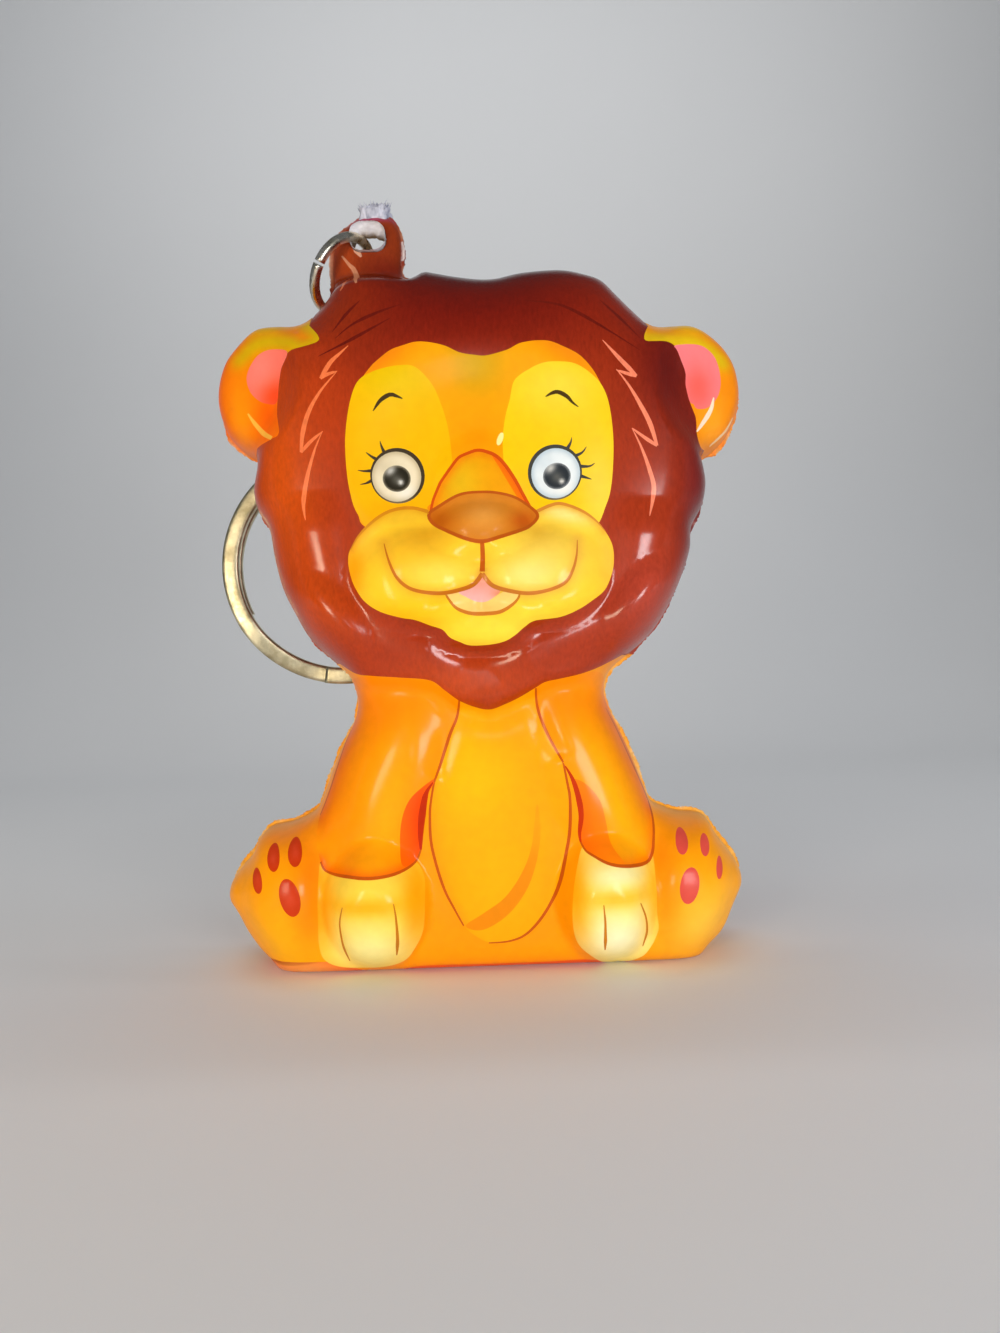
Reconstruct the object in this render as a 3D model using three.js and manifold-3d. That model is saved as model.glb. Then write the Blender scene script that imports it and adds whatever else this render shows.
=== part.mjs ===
// A sitting lion of slow-rise foam between two printed films, with a jump ring,
// a short chain and a split key ring. Millimetres, +Z up, the face looks along -Y,
// and the origin is on the flat base, under the middle of the figure.

import * as THREE from 'three';
import { mergeVertices } from 'three/addons/utils/BufferGeometryUtils.js';
import Module from 'manifold-3d';

const wasm = await Module();
wasm.setup();

// Driving dimensions of the figure
const FIGURE_WIDTH = 59.9;       // across the ears and hind feet
const FIGURE_HEIGHT = 77;        // base to the top of the mane, without the tab
const HEAD_DEPTH = 11.5;         // mane, in front of the seam
const BODY_DEPTH = 10;           // trunk and legs, in front of the seam
const BACK_DEPTH = 7.6;          // back, behind the seam
const EDGE_SOFTNESS = 4.2;       // how far the rounded edge reaches inwards
const BASE_FILLET = 3;           // rounding between the front or back and the base
const SEAM_Y = 1;                // plane where the two films meet
const FILM = 0.5;                // wall of each printed film
const CLEARANCE = 0.3;           // between pieces that touch

// Driving dimensions of the tab and its hole
const TAB_FRONT = 2.7;           // tab, in front of the seam
const TAB_BACK = 2.3;            // tab, behind the seam
const HOLE_WIDTH = 4.2;
const HOLE_HEIGHT = 3.4;
const TUFT_WIDTH = 3.7;          // bare foam at the torn top of the tab
const TUFT_HEIGHT = 3.6;
const TUFT_DEPTH = 2.4;
const HOLE_ROUNDING = 0.42;      // corner radius of the hole, as a share of its lesser side
const TUFT_ROUNDING = 0.3;       // corner radius of the tuft, as a share of its height

// Driving dimensions of the metal pieces
const JUMP_RING_OUTER = 9.8;
const JUMP_RING_WIRE = 1.1;
const LINK_LENGTH = 7.4;
const LINK_WIRE = 1.2;
const WIRE_SLIT = 0.3;           // cut where a bent wire's ends face each other
const SPLIT_RING_OUTER = 30;
const BAND_WIDTH = 2.1;          // split ring's wire, across the ring
const BAND_THICKNESS = 1.15;     // split ring's wire, along the ring's axis
const TURN_GAP = 0.5;            // between the split ring's two turns

// Mesh spacing
const RIM_STEP = 2.2;
const FRONT_STEP = 2.3;
const BACK_STEP = 3;
const RIM_SPACE = 0.72;          // inner points keep this share of a step from the rim
const CURVE_DIVISIONS = 1200;
const CORNER_STEPS = 5;
const RING_STEPS = 28;
const LINK_STEPS = 24;
const TURN_STEPS = 34;
const GAP_POINTS = 600;

// The sketch of the outline is drawn for a figure of this size
const SKETCH_WIDTH = 59.9;
const SKETCH_HEIGHT = 77;
const SCALE_X = FIGURE_WIDTH / SKETCH_WIDTH;
const SCALE_Z = FIGURE_HEIGHT / SKETCH_HEIGHT;

const BASE_LEFT = -24.7;
const BASE_RIGHT = 24.3;

// Outline from the right end of the base, up round the figure, to the left end
const OUTLINE = [
  [BASE_RIGHT, 0], [26.3, 2.3], [27.5, 4.9], [28.6, 7.4], [28.3, 9.2], [27.3, 10.9],
  [25.9, 12.8], [25, 14.5], [23.7, 15.1], [21.7, 15.3], [20, 15.9],
  [18.7, 16.7], [18, 18.4], [17.1, 20.9], [15.9, 23.8], [14.6, 26.6], [13.9, 28.6],
  [13.9, 30.2], [14.8, 31.9], [16.7, 33.4], [19.2, 35.6], [21.2, 38.5], [22.9, 41.9],
  [24, 44.9], [24.2, 47.3], [25.5, 49.7], [26, 52], [25.8, 54],
  [25.7, 55.4], [27.3, 56.3], [28.8, 57.8], [29.9, 60], [30.4, 62.4], [30, 65.3],
  [28.7, 67.6], [26.6, 69.4], [24.5, 70.3], [22.4, 70.3],
  [20.4, 70.3], [19.1, 71.4], [16.9, 73.7], [15.1, 75.6], [13, 76.4], [10.2, 77],
  [5.6, 76.8], [2.4, 76.2], [-1.2, 76.6], [-4.5, 77.3], [-7.4, 77.8],
  [-7.8, 79.2], [-7.7, 81], [-7.9, 83.1], [-8.8, 84.7], [-10.4, 85.2], [-12.3, 84.9],
  [-14.1, 83.8], [-15.3, 82.1], [-15.7, 79.7], [-15.7, 77],
  [-15.9, 74.9], [-17.3, 73.1], [-19, 71.8], [-21.6, 71.8], [-24.2, 71.5], [-26.5, 69.8],
  [-28.1, 67.9], [-29, 65.2], [-29, 62.6], [-28, 59.7], [-26.3, 57.9], [-24.9, 57],
  [-24.6, 55.7], [-25.1, 52.9], [-24.6, 50.5], [-23.5, 48.6], [-23, 45.2], [-22.2, 41.9],
  [-20.8, 38.9], [-19.3, 36.2], [-17.1, 33.9], [-15.1, 31.9], [-14.4, 29.2], [-14.8, 27],
  [-15.8, 25.1], [-17.1, 22.5], [-18.2, 19.7], [-19.2, 17.4],
  [-20.5, 16.4], [-22.4, 15.6], [-24.7, 15.2], [-26, 14.1], [-26.7, 12.5], [-28.1, 11],
  [-29.3, 9.3], [-29.5, 7.5], [-28.5, 5.9], [-27.5, 3.8], [-25.7, 1.2], [BASE_LEFT, 0],
];

// Lower edge of the mane, from the left side of the neck to the right
const MANE_EDGE = [
  [-15, 31.6], [-8.5, 31.2], [-5.2, 30.6], [-2.4, 28.9], [0.6, 28],
  [3.7, 29], [6.4, 30.4], [10, 31], [14.5, 32.2],
];
const MANE_STEP = 1.2;           // the mane's edge fades into the trunk over this height

// Rounded swellings on the front: middle, half sizes, turn in degrees and height
const SWELLINGS = [
  { name: 'left muzzle', at: [-6, 42.9], half: [7.6, 5.6], turn: 0, height: 3.2 },
  { name: 'right muzzle', at: [7, 42.7], half: [7.6, 5.6], turn: 0, height: 3.2 },
  { name: 'chin', at: [0.3, 37.4], half: [7, 4], turn: 0, height: 2 },
  { name: 'nose', at: [0.5, 47.2], half: [5.8, 3.2], turn: 0, height: 2.4 },
  { name: 'bridge', at: [0.6, 52], half: [5, 6], turn: 0, height: 1.6 },
  { name: 'left arm', at: [-10.2, 21], half: [5.4, 11], turn: -18, height: 2.6 },
  { name: 'right arm', at: [11.5, 21], half: [5.2, 11], turn: 18, height: 2.6 },
  { name: 'left paw', at: [-12, 7.6], half: [6.2, 7.4], turn: 0, height: 5.4 },
  { name: 'right paw', at: [12.4, 7.4], half: [5.8, 7.4], turn: 0, height: 5.4 },
  { name: 'left foot', at: [-22, 9], half: [5.4, 7.6], turn: 12, height: 1.8 },
  { name: 'right foot', at: [21.6, 8.6], half: [5.4, 7.6], turn: -12, height: 1.8 },
  { name: 'face hollow', at: [0.5, 55.5], half: [14.5, 12.5], turn: 0, height: -1.4 },
  { name: 'left ear', at: [-24.6, 63.6], half: [7, 8], turn: 0, height: -3.4 },
  { name: 'right ear', at: [26, 62], half: [7, 8], turn: 0, height: -3.4 },
];

const TAB_FOOT = 76.2;           // height where the tab leaves the mane
const TAB_MIDDLE = [-11.6, 82.1];
const HOLE_MIDDLE = [-11.4, 82];
const TUFT_MIDDLE = [-10.7, 84.9];

// The tab's own thickness starts below its foot and is full above it; across, it is
// full over the half width and gone beyond the side
const FRONT_FADE = { below: 2.4, above: 2, half: 4.6, side: 2.4 };
const BACK_FADE = { below: 15, above: -2, half: 7, side: 3 };

const onFigure = ([x, z]) => new THREE.Vector2(x * SCALE_X, z * SCALE_Z);

function smoothStep(low, high, value) {
  const t = THREE.MathUtils.clamp((value - low) / (high - low), 0, 1);
  return t * t * (3 - 2 * t);
}

// The open part of the outline, evenly stepped; the base closes it
function steppedOutline() {
  const curve = new THREE.SplineCurve(OUTLINE.map(onFigure));
  curve.arcLengthDivisions = CURVE_DIVISIONS;
  const count = Math.round(curve.getLength() / RIM_STEP);
  return curve.getSpacedPoints(count);
}

function steppedBase() {
  const from = onFigure([BASE_LEFT, 0]);
  const to = onFigure([BASE_RIGHT, 0]);
  const count = Math.round(from.distanceTo(to) / RIM_STEP);
  const points = [];
  for (let i = 1; i < count; i += 1) {
    points.push(from.clone().lerp(to, i / count));
  }
  return points;
}

const SIDE = steppedOutline();
const BASE = steppedBase();
const RIM = [...SIDE, ...BASE];

function insideLoop(point, loop) {
  let inside = false;
  loop.forEach((a, i) => {
    const b = loop[(i + 1) % loop.length];
    if ((a.y > point.y) !== (b.y > point.y)) {
      const crossing = a.x + (b.x - a.x) * (point.y - a.y) / (b.y - a.y);
      if (point.x < crossing) inside = !inside;
    }
  });
  return inside;
}

// A straight piece's part of the inverse-square mean below
function nearness(a, b, x, z) {
  const length = a.distanceTo(b);
  const behind = ((x - a.x) * (b.x - a.x) + (z - a.y) * (b.y - a.y)) / length;
  const ahead = length - behind;
  const square = Math.max((x - a.x) ** 2 + (z - a.y) ** 2 - behind ** 2, 1e-6);
  const aside = Math.sqrt(square);
  return (ahead / Math.hypot(ahead, aside) + behind / Math.hypot(behind, aside)) / square;
}

// A smooth distance from the outline: the inverse-square mean over its straight pieces
function roundDistance(x, z) {
  let sum = 0;
  for (let i = 0; i + 1 < SIDE.length; i += 1) {
    sum += nearness(SIDE[i], SIDE[i + 1], x, z);
  }
  return Math.sqrt(2 / sum);
}

function roundedEdge(x, z) {
  return Math.sqrt(1 - Math.exp(-roundDistance(x, z) / EDGE_SOFTNESS));
}

function maneEdgeAt(x) {
  const points = MANE_EDGE.map(onFigure);
  let i = 0;
  while (i < points.length - 2 && x > points[i + 1].x) i += 1;
  const t = THREE.MathUtils.clamp((x - points[i].x) / (points[i + 1].x - points[i].x), 0, 1);
  return THREE.MathUtils.lerp(points[i].y, points[i + 1].y, t);
}

function swellingAt(swelling, x, z) {
  const middle = onFigure(swelling.at);
  const turn = THREE.MathUtils.degToRad(swelling.turn);
  const dx = x - middle.x;
  const dz = z - middle.y;
  const u = (dx * Math.cos(turn) + dz * Math.sin(turn)) / (swelling.half[0] * SCALE_X);
  const v = (dz * Math.cos(turn) - dx * Math.sin(turn)) / (swelling.half[1] * SCALE_Z);
  const rest = Math.max(0, 1 - u * u - v * v);
  return swelling.height * rest * rest * (3 - 2 * rest);
}

// How much of the tab's own thickness applies at a point, from 0 to 1
function tabShare(x, z, fade) {
  const middle = onFigure(TAB_MIDDLE);
  const foot = TAB_FOOT * SCALE_Z;
  const beside = 1 - smoothStep(fade.half, fade.half + fade.side, Math.abs(x - middle.x));
  return smoothStep(foot - fade.below, foot + fade.above, z) * beside;
}

function filleted(depth, z) {
  const radius = Math.min(BASE_FILLET, depth / 2);
  if (z >= radius) return depth;
  return depth - radius + Math.sqrt(Math.max(0, radius ** 2 - (radius - z) ** 2));
}

function frontRelief(x, z) {
  const head = smoothStep(-MANE_STEP, MANE_STEP, z - maneEdgeAt(x));
  const plain = THREE.MathUtils.lerp(BODY_DEPTH, HEAD_DEPTH, head);
  const swollen = SWELLINGS.reduce((sum, swelling) => sum + swellingAt(swelling, x, z), plain);
  const depth = THREE.MathUtils.lerp(swollen, TAB_FRONT, tabShare(x, z, FRONT_FADE));
  return filleted(depth * roundedEdge(x, z), z);
}

function backRelief(x, z) {
  const depth = THREE.MathUtils.lerp(BACK_DEPTH, TAB_BACK, tabShare(x, z, BACK_FADE));
  return filleted(depth * roundedEdge(x, z), z);
}

// Whether the circle through a triangle's corners holds a point
function circleHolds(triangle, points, p) {
  const [a, b, c] = triangle.map((index) => points[index]);
  const ax = a.x - p.x;
  const ay = a.y - p.y;
  const bx = b.x - p.x;
  const by = b.y - p.y;
  const cx = c.x - p.x;
  const cy = c.y - p.y;
  const da = ax * ax + ay * ay;
  const db = bx * bx + by * by;
  const dc = cx * cx + cy * cy;
  return ax * (by * dc - db * cy) - ay * (bx * dc - db * cx) + da * (bx * cy - by * cx) > 1e-9;
}

// Each point is added in turn, and the triangles whose circles hold it are remade round it
function delaunay(points) {
  const far = FIGURE_HEIGHT * 12;
  const all = [
    ...points,
    new THREE.Vector2(-far, -far),
    new THREE.Vector2(far, -far),
    new THREE.Vector2(0, far),
  ];
  let triangles = [[points.length, points.length + 1, points.length + 2]];
  points.forEach((point, index) => {
    const edges = new Map();
    const kept = [];
    triangles.forEach((triangle) => {
      if (!circleHolds(triangle, all, point)) {
        kept.push(triangle);
        return;
      }
      triangle.forEach((from, corner) => {
        const to = triangle[(corner + 1) % 3];
        if (!edges.delete(`${to} ${from}`)) edges.set(`${from} ${to}`, [from, to]);
      });
    });
    edges.forEach(([from, to]) => kept.push([from, to, index]));
    triangles = kept;
  });
  return triangles.filter((triangle) => Math.max(...triangle) < points.length);
}

function distanceToLoop(point, loop) {
  const line = new THREE.Line3();
  const nearest = new THREE.Vector3();
  const target = new THREE.Vector3(point.x, point.y, 0);
  return loop.reduce((least, a, i) => {
    const b = loop[(i + 1) % loop.length];
    line.start.set(a.x, a.y, 0);
    line.end.set(b.x, b.y, 0);
    line.closestPointToPoint(target, true, nearest);
    return Math.min(least, nearest.distanceTo(target));
  }, Infinity);
}

// A flat sheet over the outline: the rim comes first, and below z = 0 the sheet
// goes on as the base, unrolled downwards by the depth of the relief there
function makeSheet(relief, step) {
  const base = BASE.map((p) => new THREE.Vector2(p.x, -relief(p.x, 0)));
  const rim = [...SIDE, ...base];
  const points = [...rim];
  BASE.forEach((p, i) => {
    if (-base[i].y > step / 2) points.push(p.clone());
  });
  const creaseCount = points.length - rim.length;
  const box = new THREE.Box2().setFromPoints(rim);
  const row = step * Math.sqrt(3) / 2;
  const rows = Math.ceil((box.max.y - box.min.y) / row);
  for (let j = 0; j <= rows; j += 1) {
    const y = box.min.y + j * row;
    for (let x = box.min.x + (j % 2) * step / 2; x < box.max.x; x += step) {
      const p = new THREE.Vector2(x, y);
      const nearCrease = creaseCount > 0 && Math.abs(y) < step * RIM_SPACE;
      const free = !nearCrease && insideLoop(p, rim);
      if (free && distanceToLoop(p, rim) > step * RIM_SPACE) points.push(p);
    }
  }
  const middle = new THREE.Vector2();
  const triangles = delaunay(points).filter(([a, b, c]) => {
    middle.copy(points[a]).add(points[b]).add(points[c]).divideScalar(3);
    return insideLoop(middle, rim);
  });
  return { points, triangles, rimCount: rim.length };
}

// Turns a sheet into points in space on one side of the seam: side -1 is the front
function liftSheet(sheet, relief, side) {
  const { points, rimCount } = sheet;
  return points.map((p, i) => {
    if (i < SIDE.length) return new THREE.Vector3(p.x, SEAM_Y, p.y);
    if (i < rimCount) return new THREE.Vector3(p.x, SEAM_Y, 0);
    if (p.y >= 0) return new THREE.Vector3(p.x, SEAM_Y + side * relief(p.x, p.y), p.y);
    const depth = relief(p.x, 0);
    return new THREE.Vector3(p.x, SEAM_Y + side * Math.max(0, depth + p.y), 0);
  });
}

function outwardNormals(sheet, lifted, side) {
  const normals = lifted.map(() => new THREE.Vector3());
  const ab = new THREE.Vector3();
  const ac = new THREE.Vector3();
  sheet.triangles.forEach(([a, b, c]) => {
    ab.subVectors(lifted[b], lifted[a]);
    ac.subVectors(lifted[c], lifted[a]);
    const face = ab.cross(ac).multiplyScalar(-side * sheet.turn);
    [a, b, c].forEach((index) => normals[index].add(face));
  });
  for (let i = 0; i < sheet.rimCount; i += 1) {
    const before = RIM[(i + RIM.length - 1) % RIM.length];
    const after = RIM[(i + 1) % RIM.length];
    normals[i].set(after.y - before.y, 0, before.x - after.x);
  }
  normals.forEach((normal) => normal.normalize());
  return normals;
}

// The lifted sheet moved inwards by a depth; its rim also shifts along Y
function layer(sheet, lifted, normals, inset, seamShift) {
  return lifted.map((point, i) => {
    const moved = point.clone().addScaledVector(normals[i], -inset);
    if (i < sheet.rimCount) moved.y += seamShift;
    moved.z = Math.max(moved.z, inset);
    return moved;
  });
}

function geometryFrom(points, triangles) {
  const geometry = new THREE.BufferGeometry().setFromPoints(points);
  geometry.setIndex(triangles.flat());
  return geometry;
}

const flipped = ([a, b, c]) => [a, c, b];

// Adds which way round the sheet's triangles run, seen from the front
function prepareSheet(relief, step) {
  const sheet = makeSheet(relief, step);
  const [a, b, c] = sheet.triangles[0].map((index) => sheet.points[index]);
  sheet.turn = Math.sign((b.x - a.x) * (c.y - a.y) - (b.y - a.y) * (c.x - a.x));
  return sheet;
}

const FRONT_SHEET = prepareSheet(frontRelief, FRONT_STEP);
const BACK_SHEET = prepareSheet(backRelief, BACK_STEP);

// Seen from the front (looking along +Y) with +X to the right, an anticlockwise
// triangle faces -Y, so the front sheet keeps its order and the back sheet is turned
function facingOut(sheet, side) {
  return sheet.turn * side < 0 ? sheet.triangles : sheet.triangles.map(flipped);
}

function film(sheet, relief, side) {
  const lifted = liftSheet(sheet, relief, side);
  const normals = outwardNormals(sheet, lifted, side);
  const shift = side * CLEARANCE / 2;
  const outer = layer(sheet, lifted, normals, 0, shift);
  const inner = layer(sheet, lifted, normals, FILM, shift);
  const count = outer.length;
  const faces = facingOut(sheet, side);
  const innerFaces = faces.map(flipped).map((face) => face.map((index) => index + count));
  const triangles = [...faces, ...innerFaces];
  for (let i = 0; i < sheet.rimCount; i += 1) {
    const next = (i + 1) % sheet.rimCount;
    const wall = [[i, next, next + count], [i, next + count, i + count]];
    triangles.push(...(side < 0 ? wall.map(flipped) : wall));
  }
  return geometryFrom([...outer, ...inner], triangles);
}

function foam() {
  const inset = FILM + CLEARANCE;
  const parts = [[FRONT_SHEET, frontRelief, -1], [BACK_SHEET, backRelief, 1]];
  const [front, back] = parts.map(([sheet, relief, side]) => {
    const lifted = liftSheet(sheet, relief, side);
    return layer(sheet, lifted, outwardNormals(sheet, lifted, side), inset, 0);
  });
  const rimCount = FRONT_SHEET.rimCount;
  const shift = front.length - rimCount;
  const onBack = (i) => (i < rimCount ? i : i + shift);
  const backFaces = facingOut(BACK_SHEET, 1).map((face) => face.map(onBack));
  const points = [...front, ...back.slice(rimCount)];
  return geometryFrom(points, [...facingOut(FRONT_SHEET, -1), ...backFaces]);
}

function solidOf(geometry) {
  const plain = geometry.clone();
  plain.deleteAttribute('normal');
  plain.deleteAttribute('uv');
  const merged = mergeVertices(plain, 1e-4);
  return new wasm.Manifold(new wasm.Mesh({
    numProp: 3,
    vertProperties: new Float32Array(merged.attributes.position.array),
    triVerts: new Uint32Array(merged.index.array),
  }));
}

function geometryOf(solid) {
  const mesh = solid.getMesh();
  const geometry = new THREE.BufferGeometry();
  const positions = new Float32Array(mesh.vertProperties);
  geometry.setAttribute('position', new THREE.BufferAttribute(positions, 3));
  geometry.setIndex(Array.from(mesh.triVerts));
  return geometry;
}

// A rounded rectangle run along Y, a reach to each side of the seam
function roundedBar(width, height, radius, middle, reach) {
  const shape = new THREE.Shape();
  const x = width / 2 - radius;
  const z = height / 2 - radius;
  shape.absarc(x, z, radius, 0, Math.PI / 2);
  shape.absarc(-x, z, radius, Math.PI / 2, Math.PI);
  shape.absarc(-x, -z, radius, Math.PI, Math.PI * 1.5);
  shape.absarc(x, -z, radius, Math.PI * 1.5, Math.PI * 2);
  const geometry = new THREE.ExtrudeGeometry(shape, {
    depth: reach * 2, bevelEnabled: false, curveSegments: CORNER_STEPS,
  });
  geometry.rotateX(Math.PI / 2);
  geometry.translate(middle.x, SEAM_Y + reach, middle.y);
  return geometry;
}

const HOLE_AT = onFigure(HOLE_MIDDLE);
const TUFT_AT = onFigure(TUFT_MIDDLE);

function tabHole() {
  const radius = Math.min(HOLE_WIDTH, HOLE_HEIGHT) * HOLE_ROUNDING;
  return roundedBar(HOLE_WIDTH, HOLE_HEIGHT, radius, HOLE_AT, TAB_FRONT + TAB_BACK);
}

function tuft(margin) {
  const height = TUFT_HEIGHT + margin * 2;
  const width = TUFT_WIDTH + margin * 2;
  return roundedBar(width, height, height * TUFT_ROUNDING, TUFT_AT, TUFT_DEPTH / 2 + margin);
}

function mesh(name, geometry, colour, roughness, metalness) {
  const material = new THREE.MeshStandardMaterial({ color: colour, roughness, metalness });
  const result = new THREE.Mesh(geometry, material);
  result.name = name;
  return result;
}

// A film opened at the tab for the hole and for the bare foam
function openFilm(sheet, relief, side) {
  const whole = solidOf(film(sheet, relief, side));
  return whole.subtract(solidOf(tabHole())).subtract(solidOf(tuft(CLEARANCE)));
}

function frontSkin() {
  const solid = openFilm(FRONT_SHEET, frontRelief, -1);
  return mesh('front_skin', geometryOf(solid), 0xf08a12, 0.25, 0);
}

function backSkin() {
  const solid = openFilm(BACK_SHEET, backRelief, 1);
  return mesh('back_skin', geometryOf(solid), 0xb8480f, 0.25, 0);
}

function foamCore() {
  const solid = solidOf(foam()).add(solidOf(tuft(0))).subtract(solidOf(tabHole()));
  return mesh('foam_core', geometryOf(solid), 0xf1ece2, 0.9, 0);
}

// How much of a wire's width and thickness its eight-sided section loses at each corner
const SECTION_CUT = 0.29;

function wireSection(along, across) {
  const cut = SECTION_CUT;
  const shape = new THREE.Shape();
  const corners = [
    [0.5, 0.5 - cut], [0.5 - cut, 0.5], [cut - 0.5, 0.5], [-0.5, 0.5 - cut],
    [-0.5, cut - 0.5], [cut - 0.5, -0.5], [0.5 - cut, -0.5], [0.5, cut - 0.5],
  ];
  corners.forEach(([a, b], i) => {
    if (i === 0) shape.moveTo(a * along, b * across);
    else shape.lineTo(a * along, b * across);
  });
  return shape;
}

class PathCurve extends THREE.Curve {
  constructor(place) {
    super();
    this.place = place;
  }

  getPoint(t, target = new THREE.Vector3()) {
    return target.copy(this.place(t));
  }
}

function sweep(place, section, steps) {
  const geometry = new THREE.ExtrudeGeometry(section, {
    steps, extrudePath: new PathCurve(place), bevelEnabled: false,
  });
  geometry.deleteAttribute('normal');
  geometry.deleteAttribute('uv');
  return mergeVertices(geometry, 1e-4);
}

const RING_RADIUS = (JUMP_RING_OUTER - JUMP_RING_WIRE) / 2;

// The jump ring's two directions: up its long axis as the front shows it, and
// forwards out of the tab
const RING_LONG = new THREE.Vector3(0.614, 0, 0.789);
const RING_FORWARD = new THREE.Vector3(-0.316, -0.917, 0.246);
const RING_HOOK_TURN = THREE.MathUtils.degToRad(-96);    // where the chain hangs on it

const RING_SLIT_TURN = THREE.MathUtils.degToRad(108);

// The ring stands in the hole beside its left wall, and its curve bends away from
// the wire's middle by this much where it leaves the tab's front
const RING_BEND = RING_RADIUS - Math.sqrt(RING_RADIUS ** 2 - (TAB_FRONT / RING_FORWARD.y) ** 2);
const RING_CENTRE = new THREE.Vector3(HOLE_AT.x - HOLE_WIDTH / 2, SEAM_Y, HOLE_AT.y)
  .add(new THREE.Vector3(JUMP_RING_WIRE / 2 + CLEARANCE + RING_BEND * RING_LONG.x, 0, 0))
  .addScaledVector(RING_LONG, -RING_RADIUS);

function ringDirection(turn) {
  return RING_LONG.clone().multiplyScalar(Math.cos(turn)).addScaledVector(RING_FORWARD, Math.sin(turn));
}

function hangRing() {
  const slit = WIRE_SLIT / RING_RADIUS;
  const place = (t) => {
    const turn = RING_SLIT_TURN + slit / 2 + t * (Math.PI * 2 - slit);
    return RING_CENTRE.clone().addScaledVector(ringDirection(turn), RING_RADIUS);
  };
  const geometry = sweep(place, wireSection(JUMP_RING_WIRE, JUMP_RING_WIRE), RING_STEPS);
  return mesh('hang_ring', geometry, 0xc9c4b4, 0.25, 1);
}

// A link lets the split ring's two turns pass, and its ends are half rounds
const SPLIT_THICKNESS = BAND_THICKNESS * 2 + TURN_GAP;
const LINK_ROUND = (SPLIT_THICKNESS + CLEARANCE * 2 + LINK_WIRE) / 2;
const LINK_STRAIGHT = (LINK_LENGTH - LINK_WIRE) / 2 - LINK_ROUND;
const LINK_TWIST = THREE.MathUtils.degToRad(-8);         // beyond a square turn, at each hook

// The chain lies over the back of the head: each link's slope away from the vertical
const CHAIN_SLOPES = [60, 12, 12, 12, 0].map(THREE.MathUtils.degToRad);
const CHAIN_LEAN = 0.2;          // drift towards -X for each unit of length

function turned(from, towards, angle) {
  return from.clone().multiplyScalar(Math.cos(angle)).addScaledVector(towards, Math.sin(angle));
}

function inPlane(vector, normal) {
  return vector.clone().addScaledVector(normal, -vector.dot(normal)).normalize();
}

// Hangs a link on the round end of the piece before it, and points it as wanted
function hangLink(holder, wanted) {
  const pull = holder.pull ?? inPlane(wanted, holder.normal);
  const base = holder.tangent ?? holder.normal.clone().cross(pull).normalize();
  const other = base.clone().cross(pull).normalize();
  const normal = turned(base, other, LINK_TWIST);
  const along = inPlane(wanted, normal);
  const hook = holder.centre.clone().addScaledVector(pull, holder.round);
  const drop = LINK_ROUND - (holder.wire + LINK_WIRE) / 2 - CLEARANCE;
  const top = hook.clone().addScaledVector(pull, drop);
  return {
    hook, along, normal,
    across: along.clone().cross(normal).normalize(),
    middle: top.clone().addScaledVector(along, LINK_STRAIGHT),
    centre: top.clone().addScaledVector(along, LINK_STRAIGHT * 2),
    round: LINK_ROUND,
    wire: LINK_WIRE,
  };
}

function onLink(link, down, aside) {
  return link.middle.clone().addScaledVector(link.along, down).addScaledVector(link.across, aside);
}

// Two half rounds joined by straight sides, cut open in the middle of one side
function linkPath(link) {
  const path = new THREE.CurvePath();
  const halfRound = (down, from) => new PathCurve((t) => {
    const turn = from + t * Math.PI;
    return onLink(link, down + Math.sin(turn) * LINK_ROUND, Math.cos(turn) * LINK_ROUND);
  });
  const side = (from, to, aside) => {
    return new THREE.LineCurve3(onLink(link, from, aside), onLink(link, to, aside));
  };
  path.add(side(WIRE_SLIT / 2, LINK_STRAIGHT, LINK_ROUND));
  path.add(halfRound(LINK_STRAIGHT, 0));
  path.add(side(LINK_STRAIGHT, -LINK_STRAIGHT, -LINK_ROUND));
  path.add(halfRound(-LINK_STRAIGHT, Math.PI));
  path.add(side(-LINK_STRAIGHT, -WIRE_SLIT / 2, LINK_ROUND));
  return path;
}

function layChain() {
  let holder = {
    centre: RING_CENTRE,
    round: RING_RADIUS,
    wire: JUMP_RING_WIRE,
    pull: ringDirection(RING_HOOK_TURN),
    tangent: ringDirection(RING_HOOK_TURN + Math.PI / 2),
  };
  return CHAIN_SLOPES.map((slope) => {
    const wanted = new THREE.Vector3(-CHAIN_LEAN, Math.sin(slope), -Math.cos(slope));
    holder = hangLink(holder, wanted.normalize());
    return holder;
  });
}

const CHAIN = layChain();

function chainLink(link, index) {
  const path = linkPath(link);
  const geometry = sweep((t) => path.getPointAt(t), wireSection(LINK_WIRE, LINK_WIRE), LINK_STEPS);
  return mesh(`chain_link_${index + 1}`, geometry, 0xc9c4b4, 0.3, 1);
}

// Two flat turns side by side; the wire steps from one to the other at the jog
const SPLIT_RADIUS = (SPLIT_RING_OUTER - BAND_WIDTH) / 2;
const TURN_PITCH = BAND_THICKNESS + TURN_GAP;
const JOG_MIDDLE = THREE.MathUtils.degToRad(233);
const JOG_HALF = THREE.MathUtils.degToRad(24);
const END_LEAD = THREE.MathUtils.degToRad(3);

// The turns' outer corners clear the round end of the last link, and the ring
// hangs in line with that link
const LAST_LINK = CHAIN[CHAIN.length - 1];
const CORNER_Y = SPLIT_THICKNESS / 2 - BAND_THICKNESS * SECTION_CUT;
const CORNER_REACH = LINK_ROUND - LINK_WIRE / 2 - CLEARANCE;
const SPLIT_DROP = Math.sqrt(CORNER_REACH ** 2 - CORNER_Y ** 2) - BAND_WIDTH / 2;
const SPLIT_HANG = inPlane(LAST_LINK.along, new THREE.Vector3(0, 1, 0));
const SPLIT_CENTRE = LAST_LINK.centre.clone().addScaledVector(SPLIT_HANG, SPLIT_DROP + SPLIT_RADIUS);

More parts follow.
